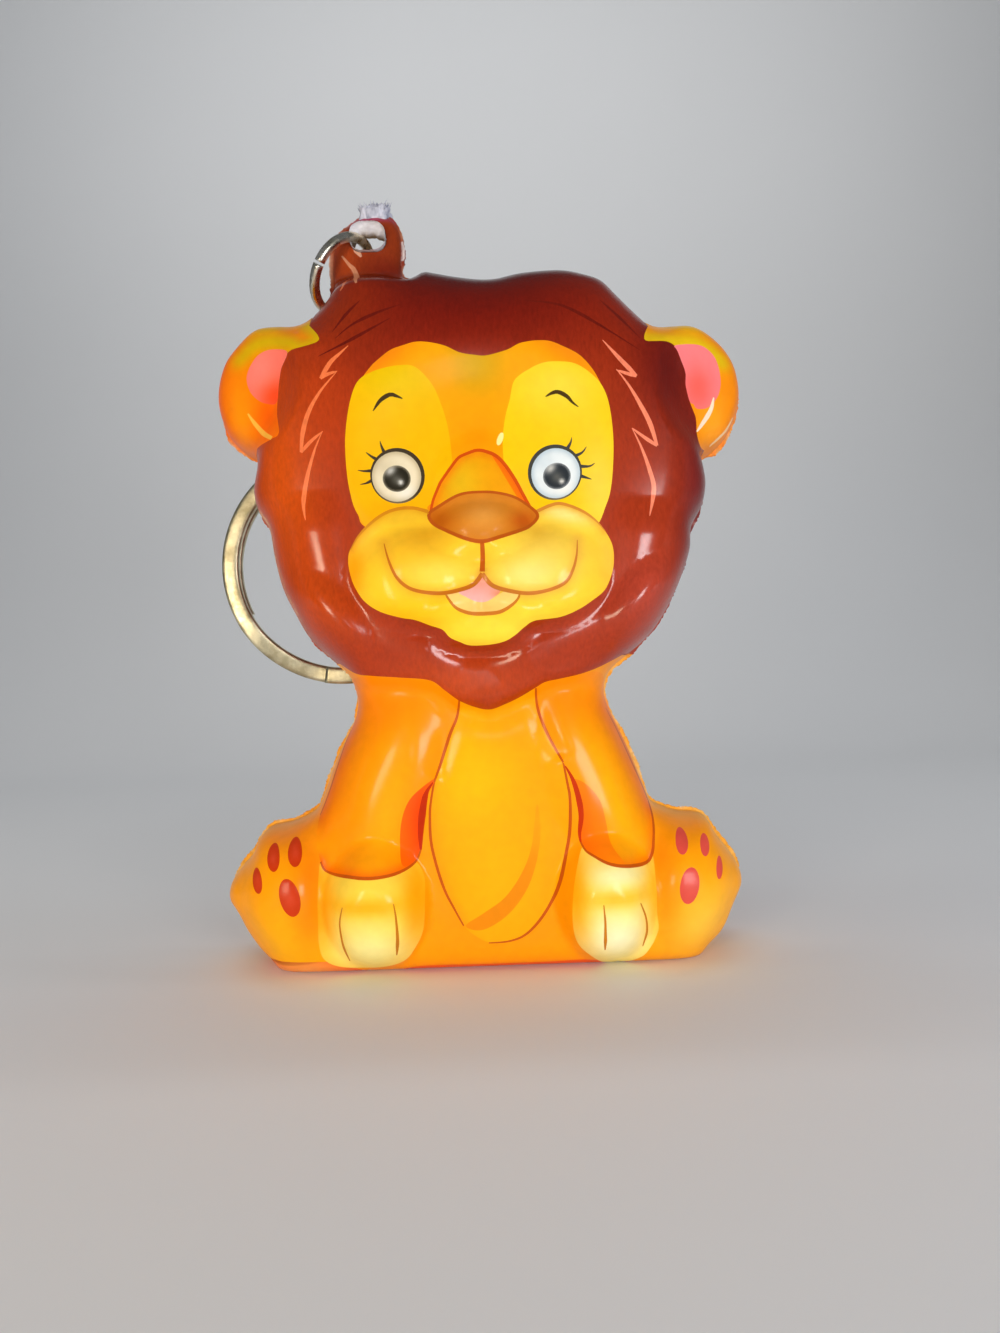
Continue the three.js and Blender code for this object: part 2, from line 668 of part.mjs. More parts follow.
function onSplitRing(t) {
  const lead = JOG_HALF + END_LEAD;
  const turn = lead + t * (Math.PI * 4 - lead * 2);
  const rise = smoothStep(Math.PI * 2 - JOG_HALF, Math.PI * 2 + JOG_HALF, turn);
  const angle = JOG_MIDDLE + turn;
  return new THREE.Vector3(
    SPLIT_CENTRE.x + SPLIT_RADIUS * Math.cos(angle),
    SPLIT_CENTRE.y + (rise - 0.5) * TURN_PITCH,
    SPLIT_CENTRE.z + SPLIT_RADIUS * Math.sin(angle),
  );
}

// The least gap between the turns, measured on points at least half a turn apart
function splitRingGap() {
  const points = [];
  for (let i = 0; i <= GAP_POINTS; i += 1) {
    points.push(onSplitRing(i / GAP_POINTS));
  }
  let least = Infinity;
  points.forEach((a, i) => {
    points.slice(i + Math.round(GAP_POINTS / 4)).forEach((b) => {
      const across = Math.hypot(a.x - b.x, a.z - b.z);
      if (across < BAND_WIDTH) least = Math.min(least, Math.abs(a.y - b.y) - BAND_THICKNESS);
    });
  });
  return least;
}

function splitRing() {
  const geometry = sweep(onSplitRing, wireSection(BAND_THICKNESS, BAND_WIDTH), TURN_STEPS * 2);
  return mesh('split_ring', geometry, 0xd6cfae, 0.3, 1);
}

const keychain = new THREE.Group();
keychain.add(frontSkin(), backSkin(), foamCore(), hangRing());
keychain.add(...CHAIN.map(chainLink));
keychain.add(splitRing());

console.log('least gap between the turns of split_ring:', splitRingGap().toFixed(2), 'mm');

export default keychain;
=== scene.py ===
"""A squishy lion on a key ring: printed film over foam, with its rings and its chain."""

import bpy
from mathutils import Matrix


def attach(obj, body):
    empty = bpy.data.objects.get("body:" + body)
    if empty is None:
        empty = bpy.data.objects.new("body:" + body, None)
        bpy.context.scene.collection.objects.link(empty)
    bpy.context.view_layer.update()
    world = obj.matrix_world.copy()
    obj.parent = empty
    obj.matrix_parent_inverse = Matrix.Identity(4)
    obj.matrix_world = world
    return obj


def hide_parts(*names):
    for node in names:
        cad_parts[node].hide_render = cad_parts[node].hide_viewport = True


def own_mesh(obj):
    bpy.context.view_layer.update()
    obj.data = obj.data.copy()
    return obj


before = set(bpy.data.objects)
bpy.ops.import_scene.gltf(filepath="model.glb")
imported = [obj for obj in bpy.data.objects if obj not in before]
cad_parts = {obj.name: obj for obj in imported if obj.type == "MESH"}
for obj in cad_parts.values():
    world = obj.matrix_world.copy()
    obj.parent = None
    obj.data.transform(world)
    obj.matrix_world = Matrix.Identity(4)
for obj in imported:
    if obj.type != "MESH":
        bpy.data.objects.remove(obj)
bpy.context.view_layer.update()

import math
import random
from collections import namedtuple

import bpy
import numpy as np
from mathutils import Matrix, Vector
from mathutils.geometry import delaunay_2d_cdt

# Sizes are in millimetres until a mesh is made
MM = 0.001
SEAM_Y = 1.0            # the plane where the front and back films meet
HEAD_DEPTH = 11.5
BODY_DEPTH = 10.0
BACK_DEPTH = 7.6
EDGE_SOFTNESS = 2.1     # how far the rounded edge reaches inwards, and how much more it does at the top
TOP_SOFTNESS = 1.2
TOP_FROM = 52           # the heights between which the edge grows softer
TOP_TO = 72
BASE_FILLET = 3.0
TAB_FOOT = 76.2
TAB_MIDDLE = -11.6
TAB_FRONT = 2.7
TAB_BACK = 2.3
HOLE_MIDDLE = (-11.4, 82.0)
HOLE_WIDTH = 4.2
HOLE_HEIGHT = 3.4
HOLE_CORNER = 1.43

# The camera of the photograph: square to the figure, turned 2 degrees in its own plane
CAMERA_AT = (2.0, -115.3, 32.5)
CAMERA_ROLL = math.radians(2)
SENSOR = 36.0
FOCAL_SHARE = 1001 / 1333      # focal length over the picture's longer side


def make_camera():
    c, s = math.cos(CAMERA_ROLL), math.sin(CAMERA_ROLL)
    data = bpy.data.cameras.new("camera")
    data.sensor_width = SENSOR
    data.lens = SENSOR * FOCAL_SHARE
    data.clip_start = 0.004
    data.clip_end = 20
    camera = bpy.data.objects.new("camera", data)
    bpy.context.scene.collection.objects.link(camera)
    x, y, z = (v * MM for v in CAMERA_AT)
    camera.matrix_world = Matrix((
        (c, s, 0, x),
        (0, 0, -1, y),
        (-s, c, 0, z),
        (0, 0, 0, 1),
    ))
    bpy.context.scene.camera = camera


make_camera()


def to_linear(shade):
    """Colours given as 0 to 255, as the shaders take them."""
    v = np.clip(np.asarray(shade) / 255, 0, 1)
    return np.where(v <= 0.04045, v / 12.92, ((v + 0.055) / 1.055) ** 2.4)


def make_object(name, points, faces, materials):
    """A smooth mesh, from points in millimetres."""
    places = [tuple(p) for p in np.asarray(points) * MM]
    mesh = bpy.data.meshes.new(name)
    mesh.from_pydata(places, [], [tuple(int(i) for i in f) for f in faces])
    mesh.update()
    mesh.polygons.foreach_set("use_smooth", [True] * len(mesh.polygons))
    for material in materials:
        mesh.materials.append(material)
    obj = bpy.data.objects.new(name, mesh)
    bpy.context.scene.collection.objects.link(obj)
    return obj


# Curves and distances on the figure's plane

def spline(points, step, closed=False):
    """Points about a step apart on a smooth curve through the given ones."""
    points = np.array(points, float)
    n = len(points)
    out = []
    for i in range(n if closed else n - 1):
        if closed:
            p0, p1, p2, p3 = (points[(i + k) % n] for k in (-1, 0, 1, 2))
        else:
            p1, p2 = points[i], points[i + 1]
            p0 = points[i - 1] if i else p1
            p3 = points[i + 2] if i + 2 < n else p2
        count = max(1, round(float(np.linalg.norm(p2 - p1)) / step))
        for k in range(count):
            t = k / count
            out.append(0.5 * ((2 * p1) + (p2 - p0) * t + (2 * p0 - 5 * p1 + 4 * p2 - p3) * t ** 2
                              + (3 * p1 - p0 - 3 * p2 + p3) * t ** 3))
    if not closed:
        out.append(points[-1])
    return np.array(out)


def smooth_step(low, high, value):
    """0 up to low, 1 from high on, and a smooth rise between them."""
    t = np.clip((value - low) / (high - low), 0, 1)
    return t * t * (3 - 2 * t)


def distance(x, z, line):
    """How far points are from an open line, and how far along it their nearest place is, from 0 to 1."""
    best = np.full(x.shape, 1e9)
    along = np.zeros(x.shape)
    last = len(line) - 1
    for i in range(last):
        (ax, az), (bx, bz) = line[i], line[i + 1]
        dx, dz = bx - ax, bz - az
        t = np.clip(((x - ax) * dx + (z - az) * dz) / max(dx * dx + dz * dz, 1e-12), 0, 1)
        away = np.hypot(x - ax - t * dx, z - az - t * dz)
        nearer = away < best
        best = np.where(nearer, away, best)
        along = np.where(nearer, (i + t) / last, along)
    return best, along


def inside(x, z, loop):
    """Whether points are in a closed loop, by how often it winds round them."""
    result = np.zeros(x.shape, bool)
    low, high = loop.min(0), loop.max(0)
    near = (x >= low[0]) & (x <= high[0]) & (z >= low[1]) & (z <= high[1])
    px, pz = x[near], z[near]
    turns = np.zeros(px.shape, int)
    for (ax, az), (bx, bz) in zip(loop, np.roll(loop, -1, 0)):
        side = (bx - ax) * (pz - az) - (px - ax) * (bz - az)
        turns += (az <= pz) & (bz > pz) & (side > 0)
        turns -= (az > pz) & (bz <= pz) & (side < 0)
    result[near] = turns != 0
    return result


def sideways(line):
    """Unit vectors to the left of a line, at each of its points."""
    ahead = np.gradient(line, axis=0)
    ahead /= np.maximum(np.linalg.norm(ahead, axis=1), 1e-9)[:, None]
    return np.stack([-ahead[:, 1], ahead[:, 0]], 1)


def ribbon(line, widths):
    """The closed outline of a stroke whose width runs through the given values."""
    run = np.linspace(0, 1, len(line))
    half = np.interp(run, np.linspace(0, 1, len(widths)), widths) / 2
    side = sideways(line) * half[:, None]
    return np.vstack([line + side, (line - side)[::-1]])


def ellipse(middle, half, turn=0.0):
    c, s = math.cos(math.radians(turn)), math.sin(math.radians(turn))
    a = np.linspace(0, 2 * math.pi, 40, endpoint=False)
    u, v = half[0] * np.cos(a), half[1] * np.sin(a)
    return np.stack([middle[0] + u * c - v * s, middle[1] + u * s + v * c], 1)


# The figure's outline on the seam plane, from the right end of the base round to the left one
OUTLINE = [
    (24.3, 0), (26.3, 2.3), (27.5, 4.9), (28.6, 7.4), (28.3, 9.2), (27.3, 10.9),
    (25.9, 12.8), (25, 14.5), (23.7, 15.1), (21.7, 15.3), (20, 15.9),
    (18.7, 16.7), (18, 18.4), (17.1, 20.9), (15.9, 23.8), (14.6, 26.6), (13.9, 28.6),
    (13.9, 30.2), (14.8, 31.9), (16.7, 33.4), (19.2, 35.6), (21.2, 38.5), (22.9, 41.9),
    (24, 44.9), (24.2, 47.3), (25.5, 49.7), (26, 52), (25.8, 54),
    (25.7, 55.4), (27.3, 56.3), (28.8, 57.8), (29.9, 60), (30.4, 62.4), (30, 65.3),
    (28.7, 67.6), (26.6, 69.4), (24.5, 70.3), (22.4, 70.3),
    (20.4, 70.3), (19.1, 71.4), (16.9, 73.7), (15.1, 75.6), (13, 76.4), (10.2, 77),
    (5.6, 76.8), (2.4, 76.2), (-1.2, 76.6), (-4.5, 77.3), (-7.4, 77.8),
    (-7.8, 79.2), (-7.7, 81), (-7.9, 83.1), (-8.8, 84.7), (-10.4, 85.2), (-12.3, 84.9),
    (-14.1, 83.8), (-15.3, 82.1), (-15.7, 79.7), (-15.7, 77),
    (-15.9, 74.9), (-17.3, 73.1), (-19, 71.8), (-21.6, 71.8), (-24.2, 71.5), (-26.5, 69.8),
    (-28.1, 67.9), (-29, 65.2), (-29, 62.6), (-28, 59.7), (-26.3, 57.9), (-24.9, 57),
    (-24.6, 55.7), (-25.1, 52.9), (-24.6, 50.5), (-23.5, 48.6), (-23, 45.2), (-22.2, 41.9),
    (-20.8, 38.9), (-19.3, 36.2), (-17.1, 33.9), (-15.1, 31.9), (-14.4, 29.2), (-14.8, 27),
    (-15.8, 25.1), (-17.1, 22.5), (-18.2, 19.7), (-19.2, 17.4),
    (-20.5, 16.4), (-22.4, 15.6), (-24.7, 15.2), (-26, 14.1), (-26.7, 12.5), (-28.1, 11),
    (-29.3, 9.3), (-29.5, 7.5), (-28.5, 5.9), (-27.5, 3.8), (-25.7, 1.2), (-24.7, 0),
]
SIDE = spline(OUTLINE, 0.5)
INWARD = sideways(SIDE)

# Where the mane overhangs the body, and over what length it steps down
MANE_EDGE = [
    (-15, 31.6), (-8.5, 31.2), (-5.2, 30.6), (-2.4, 28.9), (0.6, 28),
    (3.7, 29), (6.4, 30.4), (10, 31), (14.5, 32.2),
]
MANE_STEP = 1.2

# Swellings of the front: middle, half sizes, turn in degrees, height
SWELLINGS = [
    ((-6.4, 41.8), (7.8, 6), 0, 2.3), ((6.6, 41.6), (7.8, 6), 0, 2.3), ((0.3, 37.4), (7, 4), 0, 1.6),
    ((0.5, 46.8), (5.8, 3.4), 0, 1.5), ((0.6, 51), (5.6, 7), 0, 1.0),
    ((-10.2, 20), (5.6, 11), -18, 1.2), ((11.5, 20), (5.4, 11), 18, 1.2),
    ((-12, 7.6), (6.2, 7.4), 0, 4.6), ((12.4, 7.4), (5.8, 7.4), 0, 4.6),
    ((-22, 9), (5.4, 7.6), 12, 1.8), ((21.6, 8.6), (5.4, 7.6), -12, 1.8),
    ((0.5, 55.5), (14.5, 12.5), 0, -1.4), ((19.4, 36.8), (6.4, 9), -38, 2.1),
    ((-17.8, 36.4), (6.2, 9), 38, 1.4), ((-24.6, 63.6), (7, 8), 0, -3.4), ((26, 62), (7, 8), 0, -3.4),
]


def from_side(points):
    """How far points are from the figure's outline."""
    return distance(*points.T, SIDE)[0]


def turned(x, z, middle, half, turn):
    """Places measured from a middle, on turned axes, as shares of the half sizes."""
    c, s = math.cos(math.radians(turn)), math.sin(math.radians(turn))
    across, up = x - middle[0], z - middle[1]
    return (across * c + up * s) / half[0], (up * c - across * s) / half[1]


def round_distance(x, z):
    """A distance to the outline without creases: small at the edge, smooth in the middle."""
    total = np.zeros_like(x)
    a, b = SIDE[:-1], SIDE[1:]
    length = np.hypot(*(b - a).T)
    for (ax, az), (bx, bz), span in zip(a, b, length):
        behind = ((x - ax) * (bx - ax) + (z - az) * (bz - az)) / span
        square = np.maximum((x - ax) ** 2 + (z - az) ** 2 - behind ** 2, 1e-6)
        aside = np.sqrt(square)
        ahead = span - behind
        total += (ahead / np.hypot(ahead, aside) + behind / np.hypot(behind, aside)) / square
    return np.sqrt(2 / np.maximum(total, 1e-9))


def swelling(x, z, middle, half, turn, height):
    """A smooth oval hill, or a hollow where its height is negative."""
    u, v = turned(x, z, middle, half, turn)
    rest = np.maximum(0, 1 - u * u - v * v)
    return height * rest * rest * (3 - 2 * rest)


def tab_share(x, z, below, above, half, fade):
    """1 on the tab, fading below and above its foot, and past half its width."""
    share = smooth_step(TAB_FOOT - below, TAB_FOOT + above, z)
    return share * (1 - smooth_step(half, half + fade, np.abs(x - TAB_MIDDLE)))


def filleted(depth, z):
    """The depth drawn in where the figure turns under to its base."""
    radius = np.minimum(BASE_FILLET, depth / 2)
    drop = np.maximum(0, radius - z)
    low = depth - radius + np.sqrt(np.maximum(0, radius ** 2 - drop ** 2))
    return np.where(z >= radius, depth, low)


def rounded_edge(x, z):
    """The share of its depth that the figure has near its outline: 0 on it, 1 well inside."""
    softness = EDGE_SOFTNESS + TOP_SOFTNESS * smooth_step(TOP_FROM, TOP_TO, z)
    return np.sqrt(1 - np.exp(-round_distance(x, z) / softness))


def front_depth(x, z):
    """How far the front film stands before the seam plane."""
    edge = np.interp(x, [p[0] for p in MANE_EDGE], [p[1] for p in MANE_EDGE])
    head = smooth_step(-MANE_STEP, MANE_STEP, z - edge)
    depth = BODY_DEPTH + (HEAD_DEPTH - BODY_DEPTH) * head
    for entry in SWELLINGS:
        depth = depth + swelling(x, z, *entry)
    depth = depth + modelling(x, z)
    depth = depth + (TAB_FRONT - depth) * tab_share(x, z, below=2.4, above=2, half=4.6, fade=2.4)
    return filleted(depth * rounded_edge(x, z), z)


def back_depth(x, z):
    """How far the back film stands behind the seam plane."""
    share = tab_share(x, z, below=15, above=-2, half=7, fade=3)
    depth = BACK_DEPTH + (TAB_BACK - BACK_DEPTH) * share
    return filleted(depth * rounded_edge(x, z), z)


# Stretches that several parts of the print share, in millimetres across and up the figure
BRIDGE_LINE = [(-4.8, 48.8), (-4.5, 50.2), (-4, 51.4), (-3.6, 52.2), (-3, 53), (-2.3, 53.9), (-1.6, 54.7),
    (-0.7, 55.1), (0.4, 55.4), (1.4, 55.2), (2.4, 54.7), (3.3, 53.7), (4.3, 52.1), (5, 50.7), (5.7, 49.3),
    (6.1, 48.4)]
LIP_LINE = [(-3.3, 40.1), (-2.9, 39.4), (-2.2, 38.6), (-0.9, 38.1), (0.6, 38), (2.2, 38.1), (3.4, 38.7),
    (4.1, 39.4), (4.3, 40)]
TONGUE = [(-2, 40.3), (-1, 40.9), (-0.2, 41.6), (0.5, 41.9), (1.2, 41.4), (2.3, 40.3), (1.6, 39.6),
    (0.7, 39.2), (-0.3, 39.3), (-1.3, 39.8)]
LEFT_CUFF = [(-17.9, 12.3), (-17.1, 11.2), (-14.2, 11.3), (-11.5, 11.3), (-9.1, 11.5), (-7.7, 12.1),
    (-7.1, 13.3)]
LEFT_INNER_LINE = [(-2.4, 29.1), (-2.8, 27.2), (-3.6, 25.4), (-4.7, 22.3), (-5.4, 20.5)]
LEFT_BELLY_LINE = [(-5.4, 20.5), (-5.8, 18.6), (-6, 17), (-6, 14.3), (-5.5, 11.6), (-4.7, 8.9),
    (-3.7, 6.8), (-2.8, 5.1)]
LEFT_WRIST = [(-6.9, 15.4), (-6.4, 18.7)]
RIGHT_CUFF = [(9.9, 13.6), (10.3, 12.9), (11, 12.5), (12.6, 11.8), (15, 11.3), (16.9, 11.1), (17.6, 12),
    (17.9, 13.4), (18.1, 14.9), (18.1, 16.2), (18, 17)]
RIGHT_INNER_LINE = [(5.7, 30.1), (5.8, 28.3), (6.2, 26.7), (7, 24.7), (8.3, 22.2)]
RIGHT_WRIST = [(9.9, 18.3), (10, 16.5), (9.8, 14.6), (10.1, 13.3)]
BELLY_RIGHT_LINE = [(8.3, 22.2), (8.7, 19.8), (8.9, 18.2), (8.8, 14.9), (8.4, 12.7), (7.6, 9.7),
    (6.7, 7.5), (5.3, 5.4), (3.7, 3.9), (2, 3.3), (-0.2, 3.2)]
LEFT_EAR_SIDE = [(-17.2, 69.8), (-16, 68.1), (-16.1, 67.4), (-18, 66.9)]
RIGHT_EAR_SIDE = [(22.3, 65.7), (23.2, 63.8), (23.2, 62.3), (23.6, 60.5)]

# The printed drawing: its outlines and lines
PRINT = {
    "left_ear": [*LEFT_EAR_SIDE, (-19.3, 66.7), (-20.1, 66.1), (-20.7, 64.7), (-20.9, 63), (-21, 60.6),
        (-20.5, 58), (-21.4, 57.5), (-22.5, 57.3), (-23.7, 57.2)],
    "left_ear_band": [*LEFT_EAR_SIDE, (-19.2, 67.6), (-21.7, 68.4), (-23.7, 68.3), (-25.4, 67.2)],
    "left_ear_pink": [(-19.5, 66.8), (-21.6, 67.6), (-23.2, 67.3), (-24.2, 66.2), (-24.6, 64.9),
        (-24.2, 63.4), (-23.3, 62.4), (-22.3, 61.9), (-21.1, 61.8), (-20.8, 63.8), (-20.4, 65.4)],
    "left_ear_streak": [(-24.6, 61.1), (-23.8, 59.9), (-22.6, 58.5), (-21.4, 57.6)],
    "right_ear": [(19.3, 68.8), (18.6, 66.6), (21.3, 66.4), *RIGHT_EAR_SIDE, (24.2, 58.7), (24.2, 56.9),
        (24.7, 55.8), (25.7, 55.9)],
    "right_ear_band": [(18.6, 66.8), (21.3, 66.6), (24, 66.9), (25.9, 66.3), (27.6, 65.1)],
    "right_ear_pink": [(21.9, 66.2), (24, 66.7), (25.6, 66.5), (26.9, 65.2), (27.3, 63.1), (26.9, 61.3),
        (25.7, 60), (24.4, 59.8), (24, 60.3), *RIGHT_EAR_SIDE[::-1]],
    # The outlines of the painted highlights on the right ear:
    "right_ear_highlight": [(26.4, 61.1), (26, 59.7), (25, 58.2), (24.2, 57.2)],
    "right_ear_low_highlight": [(26.3, 56.3), (28, 57.8), (29.1, 59.5)],
    "heart": [(-13.3, 57.8), (-12.7, 61), (-11.8, 62.7), (-10.5, 64.4), (-9.5, 65.3), (-8.4, 66.1),
        (-7.3, 66.5), (-5.7, 66.9), (-4.2, 66.8), (-2.6, 66.4), (-1.1, 65.7), (0.5, 65.4), (1.6, 65.3),
        (3.2, 65.6), (4.2, 65.9), (5.3, 66.4), (6.9, 66.6), (8.4, 66.5), (10, 65.8), (11.5, 64.9),
        (12.7, 63.5), (13.5, 62), (14.3, 60), (14.6, 57.4), (14.6, 54.2), (14.4, 51.6), (13.9, 49.5),
        (13, 48), (12.1, 46.5), (9.7, 44.8), (0.3, 43.7), (-7.9, 45.4), (-11.6, 47.6), (-12.3, 48.9),
        (-13.1, 51.5), (-13.4, 55.2)],
    "left_patch": [(-13.3, 57.8), (-12.7, 61), (-11.8, 63), (-10, 64), (-7.4, 64.5), (-5.8, 64.3),
        (-4.3, 62.8), (-3.4, 60.9), (-2.6, 57.8), (-2.3, 53.4), (-2.7, 49.1), (-4.8, 46.5), (-10.1, 46.7),
        (-12.3, 48.9), (-13.1, 51.5), (-13.4, 54.7)],
    "right_patch": [(3.1, 55.9), (3.4, 58.6), (4, 60.7), (4.6, 62.7), (6.3, 63.8), (7.8, 64.3),
        (9.4, 64.3), (11, 64), (12.5, 63), (13.7, 61.6), (14.4, 59.5), (14.7, 55.8), (14.4, 51.6),
        (13.7, 49), (12.1, 46.5), (7.7, 46), (4.7, 48.9), (3.4, 52.1)],
    "left_brow": [(-10.4, 59.8), (-9.6, 60.9), (-8.6, 61.5), (-8, 61.4), (-7.3, 61.1)],
    "right_brow": [(7.8, 60.8), (8.4, 61.1), (9.1, 61.2), (10, 60.7), (10.6, 60), (11.2, 59.5)],
    "left_lash_1": [(-9.3, 55.2), (-9.7, 56.2), (-9.8, 56.7)],
    "left_lash_2": [(-10, 54.6), (-10.8, 55.1), (-11.3, 55.5)],
    "left_lash_3": [(-10.3, 53.6), (-11.5, 53.5), (-12.2, 53.6)],
    "left_lash_4": [(-10.4, 52.7), (-11.4, 52.2), (-12, 52.1)],
    "right_lash_1": [(9.8, 55.1), (10.3, 55.9), (10.4, 56.4)],
    "right_lash_2": [(10.4, 54.3), (11.4, 54.7), (11.9, 55.3)],
    "right_lash_3": [(10.9, 53.3), (12.1, 53.2), (12.7, 53.5)],
    "right_lash_4": [(11, 52.3), (11.8, 52), (12.3, 51.8)],
    "bridge": [(-4.8, 49.1), *BRIDGE_LINE[1:], (0.4, 46.7)],
    "bridge_line": BRIDGE_LINE,
    "bridge_shade": [(1.9, 54.9), *BRIDGE_LINE[11:], (4.9, 49.6), (3.9, 51.2), (2.8, 53.2)],
    "nose": [(-4.9, 48.9), (-3.7, 49.7), (-1.6, 50.7), (0.5, 50.9), (2.6, 50.7), (4.7, 50), (6.5, 48.4),
        (5.7, 47.2), (4.6, 46.6), (2.5, 45.9), (0.6, 45.5), (-1.2, 45.9), (-3.2, 46.9), (-4.6, 47.9)],
    "philtrum": [(0.6, 45.5), (0.6, 44), (0.5, 42.4)],
    "smile_left": [(0.5, 42.2), (-0.6, 41), (-2.9, 40.3), (-4.9, 40.3), (-6.9, 40.8), (-8.2, 41.9),
        (-9, 43.6), (-9.6, 45.7)],
    "smile_right": [(0.5, 42.2), (1.5, 40.9), (3.3, 40.2), (5.3, 39.9), (7.4, 40.2), (9, 40.9),
        (9.8, 42.1), (10.3, 43.7), (10.5, 45.4)],
    "tongue": TONGUE,
    "lip_line": LIP_LINE,
    "lip": [*LIP_LINE, (3.1, 40.3), *TONGUE[6:], (-2, 40.3)],
    "muzzle": [(6.3, 48.7), (7.9, 49.3), (9.1, 49.4), (10.9, 48.5), (12.5, 47.5), (13.5, 46.3),
        (14.2, 44.8), (14.3, 43.2), (14, 41.7), (13.2, 40.1), (11.8, 39), (10.3, 38.1), (8.4, 37.4),
        (5.8, 37.1), (4.7, 36.5), (3.7, 35.7), (2.6, 35.1), (1, 34.8), (-1, 34.8), (-2.1, 35.2),
        (-3.1, 35.7), (-3.8, 36.5), (-5.1, 37), (-6.6, 37.6), (-8.1, 37.9), (-10.2, 38.6), (-11.8, 39.7),
        (-12.8, 41.2), (-13.3, 42.6), (-13.5, 44), (-13.3, 45.2), (-12.4, 46.5), (-11.1, 47.8),
        (-9.5, 48.9), (-7.9, 49.4), (-6.4, 49.5), (-4.9, 49), (0.4, 46.7)],
    "muzzle_line_left": [(-5, 49.1), (-6.4, 49.5), (-7.9, 49.5), (-9.5, 49), (-11.1, 47.9), (-12.4, 46.6),
        (-13.2, 45.3)],
    "muzzle_line_right": [(6.4, 48.7), (7.9, 49.3), (9.1, 49.4), (11, 48.6), (12.5, 47.5), (13.5, 46.3)],
    "mane_edge": [(-15.5, 33.4), (-13.5, 32.3), (-11.8, 32), (-8.6, 31.7), (-5.4, 31.3), (-3.9, 30.2),
        (-2.5, 29.1), (-0.8, 28.3), (0.8, 28), (2.4, 28.5), (4, 29.2), (5.6, 30.1), (6.7, 30.7), (8.3, 31),
        (10.4, 31.4), (12.7, 32.1), (15.4, 33.3)],
    "left_zig_1": [(-12.8, 66.8), (-13.7, 66), (-14.7, 65.1), (-15.8, 63.4)],
    "left_zig_2": [(-15.8, 63.4), (-15.1, 63.8), (-14, 64.1)],
    "left_zig_3": [(-14.1, 64), (-15.8, 62.1), (-17.1, 60), (-17.8, 57.9), (-18.1, 55.7)],
    "left_zig_4": [(-18.1, 55.7), (-17, 56.8), (-15.7, 57.8)],
    "left_zig_5": [(-15.8, 57.7), (-16.7, 55.7), (-17.6, 52.8), (-18, 50.4), (-17.8, 48.5)],
    "right_zig_1": [(14, 66.5), (14.9, 65.4), (15.9, 64.2), (17.4, 62.5)],
    "right_zig_2": [(17.4, 62.5), (16.4, 62.8), (15.3, 63.2)],
    "right_zig_3": [(15.3, 63.3), (16.5, 61.6), (17.6, 59.6), (18.6, 57.5), (19.3, 55.1)],
    "right_zig_4": [(19.3, 55.1), (18.1, 55.9), (16.7, 57)],
    "right_zig_5": [(16.7, 57), (17.6, 55), (18.4, 52.6), (18.8, 50.5), (18.2, 47.7)],
    "tab_scuff_1": [(-14.5, 80.2), (-13.7, 79.1), (-12.9, 77.9), (-11.9, 73.9)],
    "tab_scuff_2": [(-13.4, 76.6), (-13.4, 74.3), (-13.8, 73.5)],
    "tab_scuff_3": [(-13.2, 81.6), (-12.7, 80.6), (-12.2, 79.8)],
    "tab_edge": [(-7.7, 82.3), (-7.5, 81), (-7.7, 79.9), (-7.8, 79.3)],
    "strand_1": [(-8.3, 69.6), (-10.4, 68.5), (-12.6, 67.4), (-16, 65.8)],
    "strand_2": [(-7.2, 71.1), (-9.9, 70.2), (-12.4, 69.1), (-14.2, 67.7)],
    "strand_3": [(-11.5, 71.8), (-13.1, 70.3), (-14.5, 68.5)],
    "strand_4": [(5.5, 71.2), (9.7, 70.5), (13.8, 68.2), (17.9, 65.4)],
    "strand_5": [(14, 71.3), (16.1, 69.2), (18.1, 66.8)],
    "left_sleeve": [(-14.5, 31.6), (-13.9, 29.5), (-14.8, 26.8), (-15.6, 24.4), (-17.2, 19.6),
        (-18.3, 16.9), (-18.4, 14.5), *LEFT_CUFF, *LEFT_WRIST, (-5.5, 20.4), *LEFT_INNER_LINE[3:0:-1],
        (-2.4, 29.3), (-4.3, 30.9), (-8.5, 31.9)],
    "left_dark": [(-5.2, 20.8), (-6.3, 20.3), (-8, 18.8), (-8.9, 16.7), (-9.2, 14), (-8.9, 12),
        *LEFT_CUFF[5:], *LEFT_WRIST],
    "left_crescent": [(-5.5, 20.5), (-6.2, 19.5), (-6.6, 18.1), (-7, 15.5), (-7.1, 13.3)],
    "left_cuff": LEFT_CUFF,
    "left_outer_line": [(-15, 26.5), (-15.6, 24.4), (-16.4, 21.9), (-17.2, 19.6), (-18.3, 16.9)],
    "left_inner_line": LEFT_INNER_LINE,
    "left_belly_line": LEFT_BELLY_LINE,
    "left_paw": [*LEFT_CUFF[:6], (-6.8, 10.5), (-6.8, 7.3), (-7.1, 4.9), (-8, 3.1), (-9.3, 1.6),
        (-11.6, 0.9), (-15.2, 0.8), (-17.4, 1.6), (-18.2, 3.3), (-18.2, 6.9), (-18.1, 10)],
    "left_toe_1": [(-15, 8.4), (-15.4, 6.8), (-15.4, 5.1), (-15.3, 3.4), (-15, 1.8)],
    "left_toe_2": [(-9.7, 8.7), (-9.5, 7), (-9.5, 4.8), (-9.8, 2.8)],
    "right_sleeve": [(5.7, 30.2), *RIGHT_INNER_LINE[1:], (9.3, 20.2), *RIGHT_WRIST, *RIGHT_CUFF[2:6],
        (17.6, 12.1), (18.1, 14.9), (18, 16.3), (17.3, 19), (16.1, 22.6), (14.8, 26.4), (14, 28.9),
        (12.8, 31.5), (8.3, 31.1)],
    "right_dark": [(9.2, 20.3), (10.5, 19.9), (12, 18.1), (12.6, 15.7), (13, 13.5), (14.2, 11.6),
        *RIGHT_CUFF[3:1:-1], *RIGHT_WRIST[::-1]],
